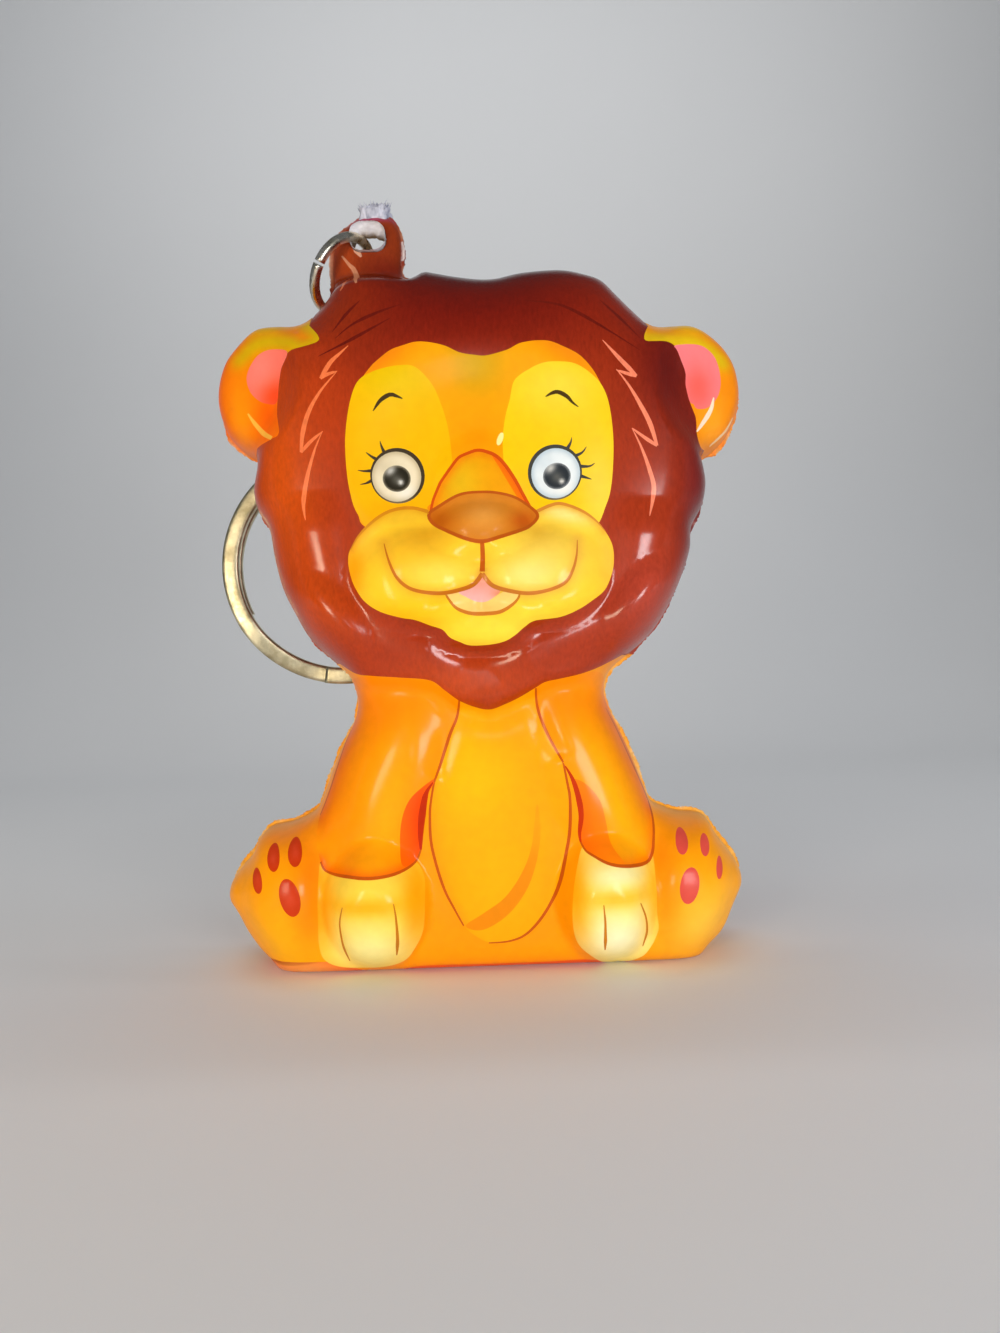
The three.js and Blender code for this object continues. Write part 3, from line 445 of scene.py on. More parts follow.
    "right_crescent": [(8.5, 21.8), (9.3, 20.2), (9.8, 18.3), (10, 16.5), (9.8, 14.6), (9.9, 13.6)],
    "right_cuff": RIGHT_CUFF,
    "right_outer_line": [(13.6, 27.5), (14.7, 25.2), (16.1, 21.8), (17.3, 19), (18, 17)],
    "right_inner_line": RIGHT_INNER_LINE,
    "belly": [*LEFT_INNER_LINE, (-6, 17.3), *LEFT_BELLY_LINE[3:], (-1.3, 3.8), (-0.1, 3.3), (2, 3.2),
        *BELLY_RIGHT_LINE[8:1:-1], (8.6, 21.6), *RIGHT_INNER_LINE[3:0:-1], (5.7, 29.9), (0.8, 29)],
    "belly_right_line": BELLY_RIGHT_LINE,
    "belly_shade": [(5.4, 17.7), (5.7, 15), (5.2, 11.8), (4, 8.7), (1.9, 6.1), (-0.8, 4.6), (-2.6, 5.1),
        (-0.6, 6.4), (1.7, 8), (3.6, 10.6), (4.7, 13.4)],
    "right_paw": [RIGHT_WRIST[3], *RIGHT_CUFF[2:6], (17.6, 12), (17.7, 9.3), (17.7, 6.2), (17.8, 4),
        (16.9, 2), (15.7, 0.7), (12.9, -0.2), (10.4, 1.8), (9, 3.6), (8.6, 6.5), (9, 10.1)],
    "right_toe_1": [(11.7, 7.9), (11.8, 6.3), (11.8, 4.8), (11.8, 2.9)],
    "right_toe_2": [(15.6, 7.7), (16.3, 5.8), (16.5, 4), (16.1, 2.3)],
    "left_leg_line": [(-19.8, 16.3), (-18.5, 14), (-18, 10.5), (-18, 6.8), (-17.8, 3.6)],
    "right_leg_line": [(18.1, 16.5), (18.2, 14.2), (18, 11.3), (17.9, 7.3), (17.9, 4)],
    "left_foot_crease": [(-20.1, 16.3), (-22.3, 15.3), (-24.1, 14.9)],
    "right_foot_crease": [(18.9, 16.2), (21, 15), (23.5, 14.3)],
    "left_roll": [(-17.7, 51.7), (-17.3, 46.9), (-16.8, 43.2), (-15.9, 40.2), (-14.2, 38.1), (-11.6, 36.9),
        (-8.3, 36), (-5.2, 34.7), (-2, 32.5)],
    "right_roll": [(1.1, 32), (3.5, 33.8), (6.3, 35.3), (8.9, 36.5), (12.6, 37.7), (15.7, 39.5),
        (17.6, 42.5), (18.4, 46.2), (18.8, 49.9)],
    "mane_groove": [(-14, 44.2), (-13.4, 41.9), (-12.1, 39.7), (-10.3, 38.2), (-7.7, 37.2), (-4.9, 36.3),
        (-3.4, 34.8), (-1.1, 34), (1.2, 34), (3.1, 34.6), (5, 36), (7.1, 36.7), (10, 37.5), (12.7, 38.9),
        (14.2, 40.7), (15.1, 43.2), (15.2, 45.3)],
    "chest_shade": [(-2.5, 28.9), (-1.4, 27.8), (0.8, 27.3), (2.7, 27.8), (5.7, 29.4)],
    "strip_top": [(-16.1, 1.8), (-12.3, -0.3), (-7.7, 0.7), (-1.3, 0.7), (5.2, 0.7), (11.6, 0.8),
        (16.2, -0.3)],
}
LINES = {name: spline(points, 0.25) for name, points in PRINT.items()}
LOOPS = {name: spline(points, 0.25, True) for name, points in PRINT.items()}
EYES = {"left": (-8.1, 53), "right": (8.5, 52.8)}

# Fine modelling of the front film: a line of the print, the height along it, its half width
MODELLING = [
    ("left_roll", 0.7, 2.9), ("right_roll", 0.8, 3.1), ("mane_groove", -0.4, 0.9),
    ("left_inner_line", -0.3, 1.1), ("left_belly_line", -0.2, 1.2),
    ("right_inner_line", -0.3, 1.1), ("belly_right_line", -0.15, 1.2),
    ("left_outer_line", -0.2, 1.0), ("right_outer_line", -0.2, 1.0),
    ("left_leg_line", -0.45, 1.6), ("right_leg_line", -0.45, 1.6),
    ("left_cuff", -0.2, 0.7), ("right_cuff", -0.2, 0.7),
    ("left_foot_crease", -0.3, 1.0), ("right_foot_crease", -0.3, 1.0),
    ("bridge_line", -0.12, 0.6), ("philtrum", -0.2, 0.6),
    ("smile_left", -0.12, 0.6), ("smile_right", -0.12, 0.6),
    ("left_toe_1", -0.15, 0.4), ("left_toe_2", -0.15, 0.4),
    ("right_toe_1", -0.15, 0.4), ("right_toe_2", -0.15, 0.4),
    ("chest_shade", -0.25, 1.5),
    ("left_ear_band", 0.35, 1.2), ("right_ear_band", 0.35, 1.2),
]
FADE_END = 2.6         # how many widths away a line still has an effect


def near_line(x, z, line, width):
    """Which points are near enough to a line to be touched by it."""
    low, high = line.min(0) - FADE_END * width, line.max(0) + FADE_END * width
    return (x > low[0]) & (x < high[0]) & (z > low[1]) & (z < high[1])


def closeness(x, z, line, width):
    """1 on the line, fading smoothly to 0 about twice the width away."""
    result = np.zeros(x.shape)
    near = near_line(x, z, line, width)
    if near.any():
        away, _ = distance(x[near], z[near], line)
        result[near] = np.exp(-(away / width) ** 2)
    return result


def modelling(x, z):
    """Creases and ridges that rise and fade towards the ends of their lines."""
    total = np.zeros(x.shape)
    for name, height, width in MODELLING:
        line = LINES[name][::2]
        near = near_line(x, z, line, width)
        if near.any():
            away, along = distance(x[near], z[near], line)
            fade = smooth_step(0, 0.16, along) * (1 - smooth_step(0.84, 1, along))
            steepness = 3 if "roll" in name else 2
            total[near] += height * fade * np.exp(-(away / width) ** steepness)
    return total


# The print. Each layer is a closed outline, a colour and the touches laid over it

def blob(colour, strength, middle, half, turn=0.0):
    """A soft oval touch."""
    def share(x, z):
        u, v = turned(x, z, middle, half, turn)
        return strength * np.exp(-(u * u + v * v))
    return colour, share


def glow(colour, strength, name, width):
    """A soft touch along a line."""
    return colour, lambda x, z: strength * closeness(x, z, LINES[name], width)


def halo(colour, strength, middle, half, width):
    """A touch along an ellipse, fading to both sides of it."""
    def share(x, z):
        reach = np.hypot((x - middle[0]) / half[0], (z - middle[1]) / half[1])
        return strength * np.exp(-((reach - 1) / width) ** 2)
    return colour, share


def rim(colour, strength, width):
    """A touch that follows the figure's own edge."""
    return colour, lambda x, z: strength * np.exp(-(distance(x, z, SIDE)[0] / width) ** 2)


MANE, SKIN = 0, 1      # the places of the films' two materials
Layer = namedtuple("Layer", "outline colour touches kind")
FRONT, BACK = [], []


def layer(outline, colour, *touches, kind=SKIN, on=FRONT):
    """Lays a coloured shape, and the touches on it, over the layers before it."""
    on.append(Layer(np.asarray(outline), colour, touches, kind))


def fill(name, colour, *touches, kind=SKIN):
    layer(LOOPS[name], colour, *touches, kind=kind)


def stroke(name, colour, *widths, kind=SKIN):
    """Draws a line whose width runs through the given ones."""
    layer(ribbon(LINES[name], widths), colour, kind=kind)


def beyond(name, *corners):
    """A line of the print closed round far corners, so that it reaches the figure's edge."""
    return np.vstack([LINES[name], corners])


WHOLE = [(-60, -30), (60, -30), (60, 100), (-60, 100)]
LINE = (196, 84, 14)
THIN_LINE = (208, 96, 16)

# Body, feet and base
# Painted light and shade over the body's print: the darker blobs at the tops of the feet and along the leg
# creases are painted shade, and the lighter lower feet and the lighter rims along the figure's edge are
# painted light.
layer(WHOLE, (253, 156, 4),
      blob((252, 134, 4), 0.7, (-14.5, 24), (2.6, 9), -18),
      blob((242, 112, 4), 0.7, (-22, 15.6), (4.5, 1.6), 10),
      blob((252, 142, 6), 0.7, (21.5, 15), (4.5, 1.5), -10),
      blob((252, 184, 16), 0.8, (-21.5, 3.2), (6, 3.6), -35),
      blob((255, 204, 74), 0.8, (22.5, 4.6), (5.5, 4), 35),
      blob((248, 132, 8), 0.6, (-19, 10), (1.6, 7)),
      blob((250, 140, 10), 0.5, (18.6, 10), (1.3, 7)),
      rim((255, 160, 24), 0.5, 2.4), rim((250, 190, 70), 0.5, 0.5))
# The red-orange strip along the base is partly print and partly painted shade where the film turns under, and
# it is painted lighter under the feet.
layer(beyond("strip_top", (30, 0), (30, -30), (-30, -30), (-30, 1)), (246, 96, 18),
      blob((255, 184, 96), 0.8, (-20, 0), (5, 3)), blob((255, 170, 80), 0.6, (21, 0), (5, 3)))

# Belly
fill("belly", (248, 166, 3),
     blob((242, 188, 5), 0.95, (-1.4, 20.5), (4.6, 5.4)), blob((253, 184, 4), 0.8, (0.5, 9), (5, 6)),
     blob((247, 152, 6), 0.5, (3, 27), (4, 3)), glow((252, 150, 12), 0.5, "left_belly_line", 0.7))
fill("belly_shade", (240, 142, 6), blob((250, 168, 8), 0.7, (5.6, 16), (2.2, 4)))
stroke("left_belly_line", LINE, 0.2, 0.3, 0.3, 0.16)
stroke("belly_right_line", LINE, 0.2, 0.34, 0.34, 0.3, 0.12)

# Arms and paws
# Painted light on the paws: the pale cream low on each paw and the near-white patches on the right paw are
# partly print and partly painted light.
fill("left_paw", (254, 208, 70), blob((255, 244, 160), 0.95, (-12.4, 3.6), (4.6, 3.2)),
     blob((255, 216, 70), 0.8, (-12.2, 10.6), (4, 1.4)), blob((250, 172, 8), 0.8, (-12.5, 8.4), (5, 0.9)),
     blob((252, 160, 6), 0.9, (-17.9, 8), (1.3, 5)), blob((253, 166, 6), 0.9, (-7.4, 9), (1.5, 4.6)))
fill("right_paw", (254, 220, 96),
     blob((255, 250, 204), 0.95, (13, 4), (3.8, 3.4)), blob((255, 244, 180), 0.9, (13.2, 10.6), (3.4, 1.4)),
     blob((252, 188, 30), 0.8, (13.4, 8.4), (4.4, 0.9)), blob((253, 172, 10), 0.9, (9, 9), (1.3, 5)),
     blob((253, 176, 20), 0.8, (17.6, 8.4), (1, 5)))
for name in ("left_toe_1", "left_toe_2", "right_toe_1", "right_toe_2"):
    stroke(name, (196, 122, 26), 0.1, 0.2, 0.26, 0.34, 0.1)
# Painted light and shade on the sleeves: each is lighter along the middle of the arm and darker along its
# outer side and at its cuff.
fill("left_sleeve", (254, 148, 3),
     glow((240, 112, 6), 0.85, "left_outer_line", 1.5), blob((255, 172, 8), 0.8, (-10.6, 17), (2.2, 8), -14),
     blob((246, 124, 6), 0.6, (-12, 29), (5, 3)), glow((244, 100, 8), 0.8, "left_cuff", 0.7))
fill("right_sleeve", (254, 152, 3),
     glow((246, 118, 6), 0.8, "right_outer_line", 1.3), blob((255, 176, 10), 0.8, (14, 17), (2.0, 8), 20),
     blob((249, 126, 6), 0.6, (9.5, 29), (4, 3)), glow((248, 112, 8), 0.7, "right_cuff", 0.7))
fill("left_dark", (252, 104, 6), blob((244, 64, 4), 0.95, (-6.8, 16), (1.5, 5)))
fill("right_dark", (253, 128, 4), blob((250, 104, 6), 0.7, (10, 15), (1.4, 4)))
stroke("left_crescent", (190, 44, 4), 0.1, 0.6, 0.75, 0.6, 0.2)
stroke("right_crescent", (196, 50, 4), 0.1, 0.5, 0.62, 0.5, 0.2)
for name in ("left_inner_line", "right_inner_line", "left_cuff", "right_cuff"):
    stroke(name, LINE, 0.2, 0.3, 0.34, 0.3, 0.2)
stroke("left_outer_line", THIN_LINE, 0.06, 0.16, 0.2, 0.12)
stroke("right_outer_line", THIN_LINE, 0.06, 0.16, 0.22, 0.14)

# Pads of the feet: middles and half sizes
LEFT_PADS = [((-22.9, 12.9), (0.72, 1.3)), ((-20.6, 13.4), (0.74, 1.36)), ((-24.6, 10.6), (0.62, 1.26)),
             ((-20.9, 9), (1.06, 2.0))]
RIGHT_PADS = [((20.8, 13.1), (0.66, 1.2)), ((23.3, 12.6), (0.56, 1.04)), ((24.7, 10.2), (0.44, 1.1)),
              ((21.1, 8.8), (1.02, 1.9))]
for pads, red, turn in ((LEFT_PADS, (200, 54, 8), 14), (RIGHT_PADS, (222, 78, 66), -12)):
    for middle, half in pads:
        layer(ellipse(middle, half, turn), red,
              blob((226, 88, 70), 0.5, middle, (half[0] * 0.6, half[1] * 0.6), turn))

# Mane
# Over the mane's print, the lighter orange on the left is painted warm light, and the purplish tints low on
# the right and the darker right edge are painted cool reflection and shade.
layer(beyond("mane_edge", (40, 34), (60, 100), (-60, 100), (-40, 34)), (160, 48, 12),
      blob((112, 16, 2), 0.9, (0, 71), (19, 6)), blob((56, 1, 1), 0.95, (1, 77.5), (16, 4.5)),
      blob((206, 78, 4), 0.95, (-20.6, 52), (4.6, 15)), blob((188, 66, 4), 0.8, (-17, 40), (6, 6)),
      blob((196, 70, 12), 0.8, (-3, 30.5), (9, 3)), blob((178, 66, 52), 0.7, (17, 40), (7, 6)),
      blob((108, 28, 34), 0.8, (24.4, 50), (3, 14)), blob((98, 16, 10), 0.9, (21, 64), (4, 7)),
      blob((140, 42, 6), 0.8, (-14, 71), (5, 5)), blob((190, 62, 8), 0.6, (-15, 60), (3, 6)), kind=MANE)
layer([(-19, 76.4), (-13, 77.6), (-7, 77.2), (-4, 78.5), (-4, 92), (-19, 92)], (146, 52, 14),
      blob((116, 26, 6), 0.8, (-9, 78), (3, 1.6)), blob((176, 70, 24), 0.6, (-13.8, 80), (1.2, 3)),
      blob((176, 62, 108), 0.95, (-11.4, 84.5), (3.6, 0.5)), kind=MANE)
stroke("tab_scuff_1", (202, 132, 96), 0.16, 0.5, 0.74, 0.2, kind=MANE)
stroke("tab_scuff_2", (200, 104, 66), 0.1, 0.5, 0.12, kind=MANE)
stroke("tab_scuff_3", (214, 160, 132), 0.4, 0.7, 0.2, kind=MANE)
stroke("tab_edge", (226, 212, 208), 0.1, 0.4, 0.36, 0.1, kind=MANE)
for part in (1, 2, 3, 4, 5):
    stroke("strand_%d" % part, (104, 20, 4), 0.04, 0.26, 0.4, 0.2, 0.04, kind=MANE)
for side, pale in (("left", (240, 120, 66)), ("right", (246, 134, 100))):
    for part in (1, 3, 5):
        last = 0.28 if part < 5 else 0.06
        stroke("%s_zig_%d" % (side, part), pale, 0.06, 0.26, 0.44, 0.52, last, kind=MANE)
    for part in (2, 4):
        stroke("%s_zig_%d" % (side, part), pale, 0.3, 0.4, 0.3, 0.08, kind=MANE)

# Ears
layer(beyond("left_ear", (-30, 54), (-60, 54), (-60, 80), (-17.9, 80)), (254, 122, 4),
      rim((250, 104, 4), 0.9, 1.2), glow((206, 176, 8), 0.9, "left_ear_band", 1.2),
      blob((252, 150, 8), 0.8, (-25.4, 61), (1.6, 5)), blob((222, 196, 10), 0.8, (-22, 70.8), (4.4, 1.4)),
      blob((252, 92, 4), 0.8, (-22, 60.4), (1.6, 2.4)))
fill("left_ear_pink", (255, 122, 104), blob((250, 72, 24), 0.95, (-21.4, 62.6), (1.8, 2.0), 30),
     blob((255, 134, 118), 0.8, (-23, 65.8), (1.6, 2.2)))
stroke("left_ear_streak", (255, 184, 66), 0.14, 0.46, 0.54, 0.4)
layer(beyond("right_ear", (32, 50), (60, 50), (60, 80), (18.6, 80)), (252, 142, 12),
      rim((250, 128, 8), 0.7, 0.9), glow((222, 190, 20), 0.9, "right_ear_band", 1.1),
      blob((255, 164, 36), 0.8, (26, 58.4), (2, 3)), blob((236, 208, 16), 0.8, (23.6, 69.6), (4, 1.4)))
fill("right_ear_pink", (255, 128, 130), blob((255, 96, 84), 0.9, (24.6, 62), (1.6, 2.4)))
# Painted highlights: the pale strokes on the right ear.
stroke("right_ear_highlight", (255, 222, 190), 0.12, 0.42, 0.5, 0.38, 0.12)
stroke("right_ear_low_highlight", (255, 206, 150), 0.1, 0.24, 0.24, 0.1)

# Face
fill("heart", (254, 164, 2), blob((208, 162, 4), 0.95, (0.6, 65), (3.4, 4.4)),
     blob((240, 132, 14), 0.9, (-9.4, 65.4), (4.6, 1.5), 35),
     blob((240, 136, 18), 0.9, (10, 66), (5, 1.7), -35), blob((255, 150, 2), 0.8, (0.6, 56), (2.4, 4)),
     blob((240, 130, 12), 0.8, (-13.4, 60), (1, 4)))
fill("left_patch", (244, 184, 2), blob((230, 194, 4), 0.8, (-8, 63), (4.6, 2.6)),
     blob((255, 166, 2), 0.9, (-9, 47.6), (5, 3)), blob((254, 176, 2), 0.7, (-13, 52), (1.4, 5)))
fill("right_patch", (250, 202, 14), blob((240, 218, 66), 0.8, (9.5, 62), (4.6, 3)),
     blob((253, 214, 84), 0.8, (13, 51), (2.4, 6)), blob((254, 190, 30), 0.8, (5, 50), (1.6, 4)))
stroke("left_brow", (66, 46, 12), 0.08, 0.34, 0.46, 0.4, 0.1)
stroke("right_brow", (70, 48, 16), 0.1, 0.4, 0.44, 0.3, 0.08)
# A painted highlight: the small pale drop beside the bridge of the nose.
layer(ellipse((2.85, 56.6), (0.3, 0.75), -20), (255, 240, 150))


EYE_SIZE = (2.84, 2.98)
WHITE_SIZE = (2.56, 2.68)
PUPIL_SIZE = (1.46, 1.42)
SPOT_SIZE = (0.27, 0.27)


def eye(side, pupil, spot, white, edge, dark, outline, heavy):
    """A printed eye: an outline heavier at one side, its white, and a pupil with two soft lights."""
    (x, z), (px, pz) = EYES[side], pupil
    for part in (1, 2, 3, 4):
        stroke("%s_lash_%d" % (side, part), outline, 0.44, 0.34, 0.2, 0.05)
    layer(ellipse((x, z), EYE_SIZE), outline, blob((150, 134, 96), 0.7, (x, z - 3.1), (2.6, 0.9)))
    x, z = x + heavy[0], z + heavy[1]
    bright = (250, 248, 240)
    layer(ellipse((x, z), WHITE_SIZE), white, halo(edge, 0.75, (x, z), (2.6, 2.7), 0.16),
          blob(bright, 0.55, (x + 0.9, z - 1.7), (1.2, 0.8)),
          blob(edge, 0.35, (x - 1.2, z + 1.2), (1.2, 1.0)))
    layer(ellipse((px, pz), PUPIL_SIZE), dark, blob((128, 126, 116), 0.55, (px, pz - 0.1), (0.6, 0.6)),
          blob(bright, 0.75, (px - 0.62, pz + 0.85), (0.62, 0.4), 40),
          halo(white, 0.5, (px, pz), PUPIL_SIZE, 0.1), blob(bright, 0.95, spot, SPOT_SIZE))


# The left eye's warmer colours and the right eye's cooler ones are painted warm and cool light on the same
# print.
eye("left", (-8.2, 52.7), (-7.8, 52.3), white=(236, 222, 188), edge=(186, 168, 130), dark=(38, 34, 24),
    outline=(66, 54, 38), heavy=(-0.1, -0.1))
eye("right", (8.7, 52.4), (9.2, 51.8), white=(232, 240, 243), edge=(176, 196, 208), dark=(42, 48, 54),
    outline=(66, 66, 62), heavy=(0.08, -0.1))
fill("bridge", (238, 158, 6), blob((228, 180, 22), 0.9, (-1.4, 51.8), (2.2, 3)),
     glow((246, 130, 12), 0.7, "bridge_line", 0.7))
fill("bridge_shade", (253, 124, 4), glow((246, 92, 20), 0.7, "bridge_line", 0.5))
stroke("bridge_line", (210, 78, 12), 0.26, 0.32, 0.34, 0.4, 0.38, 0.36)

# Muzzle
# Painted light and shade on the muzzle's print: the darker upper left and the spots beside the nose are
# painted shadow of the nose, the pale band at the upper right is a painted highlight on its rim, and the
# lighter spot at the upper left is painted light.
fill("muzzle", (252, 206, 44),
     blob((250, 152, 4), 0.9, (-13, 43.6), (1.3, 3.6)), blob((254, 190, 58), 0.9, (13.8, 43), (1.2, 3.4)),
     blob((255, 186, 4), 0.8, (-8, 37.8), (5, 2)), blob((255, 224, 70), 0.7, (3, 36.4), (6, 2)),
     blob((242, 176, 34), 0.7, (-6, 45.2), (4.6, 3.4)), blob((246, 206, 92), 0.7, (7.4, 44), (5, 3.8)),
     blob((252, 224, 96), 0.7, (-3.6, 42.2), (3.6, 1.6)), blob((250, 232, 136), 0.8, (5.2, 41.8), (3.4, 1.8)),
     blob((232, 180, 40), 0.7, (-8.4, 48.5), (3.6, 0.8), 12),
     blob((255, 196, 56), 0.8, (-12, 46.2), (1.8, 1.8)),
     blob((252, 234, 150), 0.85, (9.4, 48.3), (3.2, 0.9), -16),
     blob((240, 170, 28), 0.4, (-4.9, 46.7), (2.4, 1.1), 14),
     blob((242, 182, 52), 0.4, (6, 46.6), (1.9, 1.1), -22),
     glow((214, 140, 16), 0.6, "muzzle_line_left", 0.5), glow((222, 150, 40), 0.6, "muzzle_line_right", 0.5),
     glow((230, 156, 40), 0.5, "smile_left", 0.6), glow((232, 164, 66), 0.5, "smile_right", 0.6))
fill("lip", (254, 212, 118), blob((252, 190, 96), 0.6, (0.4, 38.6), (2.6, 0.7)))
fill("tongue", (253, 180, 172), blob((246, 150, 120), 0.8, (0.4, 41.6), (1.2, 0.9)),
     blob((240, 140, 90), 0.7, (2.2, 40), (0.8, 0.6)))
stroke("smile_left", (196, 110, 26), 0.46, 0.46, 0.42, 0.38, 0.36, 0.26, 0.08)
stroke("smile_right", (204, 122, 46), 0.46, 0.46, 0.42, 0.38, 0.36, 0.26, 0.08)
stroke("lip_line", (204, 120, 36), 0.2, 0.36, 0.42, 0.36, 0.18)
stroke("philtrum", (194, 92, 20), 0.44, 0.48, 0.56)
stroke("muzzle_line_left", (208, 132, 20), 0.38, 0.36, 0.3, 0.08)
stroke("muzzle_line_right", (212, 136, 48), 0.38, 0.34, 0.28, 0.08)
fill("nose", (208, 122, 28), blob((226, 152, 64), 0.9, (0.8, 48.3), (2.2, 1.9)),
     blob((184, 86, 4), 0.8, (-4, 48), (1.6, 1.4)), blob((190, 78, 12), 0.8, (5, 47.6), (1.3, 1.2)))
layer(ribbon(np.vstack([LOOPS["nose"], LOOPS["nose"][:1]]), [0.36, 0.28, 0.3, 0.4, 0.4, 0.36]), (184, 84, 18))

# The back is printed plainly: the mane over the head, and the body's orange
# The lighter rims along the back's edge and round its ears are painted light.
layer(WHOLE, (250, 146, 6), blob((240, 122, 6), 0.7, (0, 14), (8, 12)), rim((252, 176, 50), 0.5, 0.8),
      blob((252, 170, 12), 0.6, (-20, 7), (6, 6)), blob((252, 170, 12), 0.6, (20, 7), (6, 6)), on=BACK)
layer([(-60, 33.5), (-14, 31.4), (-5, 30.4), (0.6, 27.6), (6, 30.2), (14, 31.8), (60, 33.5), (60, 100),
       (-60, 100)], (150, 44, 10), blob((92, 14, 3), 0.9, (0, 76), (16, 7)),
      blob((178, 62, 8), 0.7, (0, 38), (18, 8)), kind=MANE, on=BACK)
layer([(-60, 57), (-24.9, 57), (-21.6, 60), (-20.6, 66), (-19.6, 70), (-19.2, 80), (-60, 80)],
      (252, 128, 6), rim((250, 160, 20), 0.8, 1.2), on=BACK)
layer([(60, 55.6), (25.7, 55.6), (22.8, 60), (21.4, 66), (20.6, 69), (20.4, 80), (60, 80)],
      (252, 134, 8), rim((250, 160, 20), 0.8, 1.2), on=BACK)


# The films

GRID = 0.55
RINGS = (0.04, 0.14, 0.3, 0.52, 0.8, 1.15, 1.6)    # rings of points this far inside the outline
ROWS = (0.05, 0.2, 0.45, 0.8, 1.2, 1.7, 2.3)       # rows of points this high above the base
EYE_REACH = 3.2
EYE_GRID = 0.2
AT_BASE = 1e-4
UNDERSIDE_ROWS = 6
MAP_SPAN = 102         # the flat map's width and height, and where the figure lies on it
MAP_LEFT = 51
MAP_LOW = 15.5


def hole_outline(grow=0.0):
    """The tab's hole: a rectangle with round corners."""
    corner = HOLE_CORNER + grow
    across, up = HOLE_WIDTH / 2 + grow - corner, HOLE_HEIGHT / 2 + grow - corner
    points = []
    for quarter, (sx, sz) in enumerate(((1, 1), (-1, 1), (-1, -1), (1, -1))):
        for k in range(9):
            a = math.radians(quarter * 90 + k * 11.25)
            points.append((sx * across + corner * math.cos(a), sz * up + corner * math.sin(a)))
    return np.array(points) + np.array(HOLE_MIDDLE)


def level(start, end, step, z):
    """Points a step apart at one height."""
    across = np.arange(start, end, step)
    return np.stack([across, np.full(across.shape, z)], 1)


def sheet_points(step, rings, rows):
    """Points all over the figure: a triangle grid, rings that follow the edge, and rows near the base."""
    low, high = SIDE.min(0), SIDE.max(0)
    height = step * math.sqrt(3) / 2
    grid = np.vstack([level(low[0] + (k % 2) * step / 2, high[0], step, z)
                      for k, z in enumerate(np.arange(low[1] + height, high[1], height))])
    hole = hole_outline()
    off_hole = distance(*grid.T, np.vstack([hole, hole[:1]]))[0]
    clear = (from_side(grid) > rings[-1] + step * 0.4) & (grid[:, 1] > rows[-1]) & (off_hole > step * 0.4)
    points = [grid[clear]]
    for depth in rings:
        ring = SIDE + INWARD * depth
        points.append(ring[(from_side(ring) > depth * 0.9) & (ring[:, 1] > rows[0] * 0.5)])
    for z in rows:
        row = level(low[0], high[0], step, z)
        points.append(row[from_side(row) > step * 0.8])
    return np.vstack(points)


def close_points(middle, reach, step):
    """A fine grid of points round a place with small printed detail."""
    row = np.arange(-reach, reach, step)
    x, z = np.meshgrid(row, row)
    x[::2] += step / 2
    near = np.hypot(x, z) < reach
    return np.stack([x[near] + middle[0], z[near] + middle[1]], 1)


def triangulate(points, loops):
    """Triangles over the figure's face that keep every loop's edges, and leave the hole open."""
    rim = np.vstack([SIDE, level(SIDE[-1][0] + GRID, SIDE[0][0], GRID, 0)])
    hole = hole_outline()
    edges = []
    count = len(points)
    for loop in (rim, hole, *loops):
        n = len(loop)
        edges += [(count + i, count + (i + 1) % n) for i in range(n)]
        count += n
    given = [Vector(p) for p in np.vstack([points, rim, hole, *loops])]
    found, _, faces, _, _, _ = delaunay_2d_cdt(given, edges, [], 0, 1e-4)
    flat = np.array([tuple(p) for p in found])
    faces = np.array([f for f in faces if len(f) == 3])
    middle = flat[faces].mean(1)
    good = inside(*middle.T, rim) & ~inside(*middle.T, hole)
    kept, faces = np.unique(faces[good], return_inverse=True)
    return flat[kept], faces.reshape(-1, 3)


def normals_of(depth, flat, side):
    """The relief's own normals, so that the print's edges leave no mark in the shading."""
    x, z = flat.T
    away = from_side(flat)
    # The slope is taken over a short reach, shorter still near the edge and the base
    reach = np.clip(away * 0.5, 0.002, 0.05)
    up = np.minimum(reach, np.maximum(z * 0.5, 0.002))
    slope_x = (depth(x + reach, z) - depth(x - reach, z)) / (2 * reach)
    slope_z = (depth(x, z + up) - depth(x, np.maximum(z - up, 0))) / (up + np.minimum(up, z))
    normal = np.stack([-slope_x, np.full(x.shape, side), -slope_z], 1)
    normal /= np.linalg.norm(normal, axis=1)[:, None]
    for i in np.flatnonzero(away < 0.02):
        nearest = INWARD[np.argmin(np.hypot(*(SIDE - flat[i]).T))]
        normal[i] = (-nearest[0], 0.12 * side, -nearest[1])
    normal[z < 0.001] = (0, 0.05 * side, -1)
    return normal / np.linalg.norm(normal, axis=1)[:, None]


def colour_of(entry, x, z):
    """A layer's colour at places, with its touches laid over it."""
    shade = np.tile(np.array(entry.colour, float), (len(x), 1))
    for tint, share in entry.touches:
        amount = np.clip(share(x, z), 0, 1)[:, None]
        shade += (np.array(tint, float) - shade) * amount
    return shade


def paint(mesh, domain, shades):
    """Gives a mesh the print's colours, at its points or at its faces' corners."""
    colours = np.ones((len(shades), 4), np.float32)
    colours[:, :3] = to_linear(shades)
    attribute = mesh.color_attributes.new("Print", "FLOAT_COLOR", domain)
    attribute.data.foreach_set("color", colours.ravel())


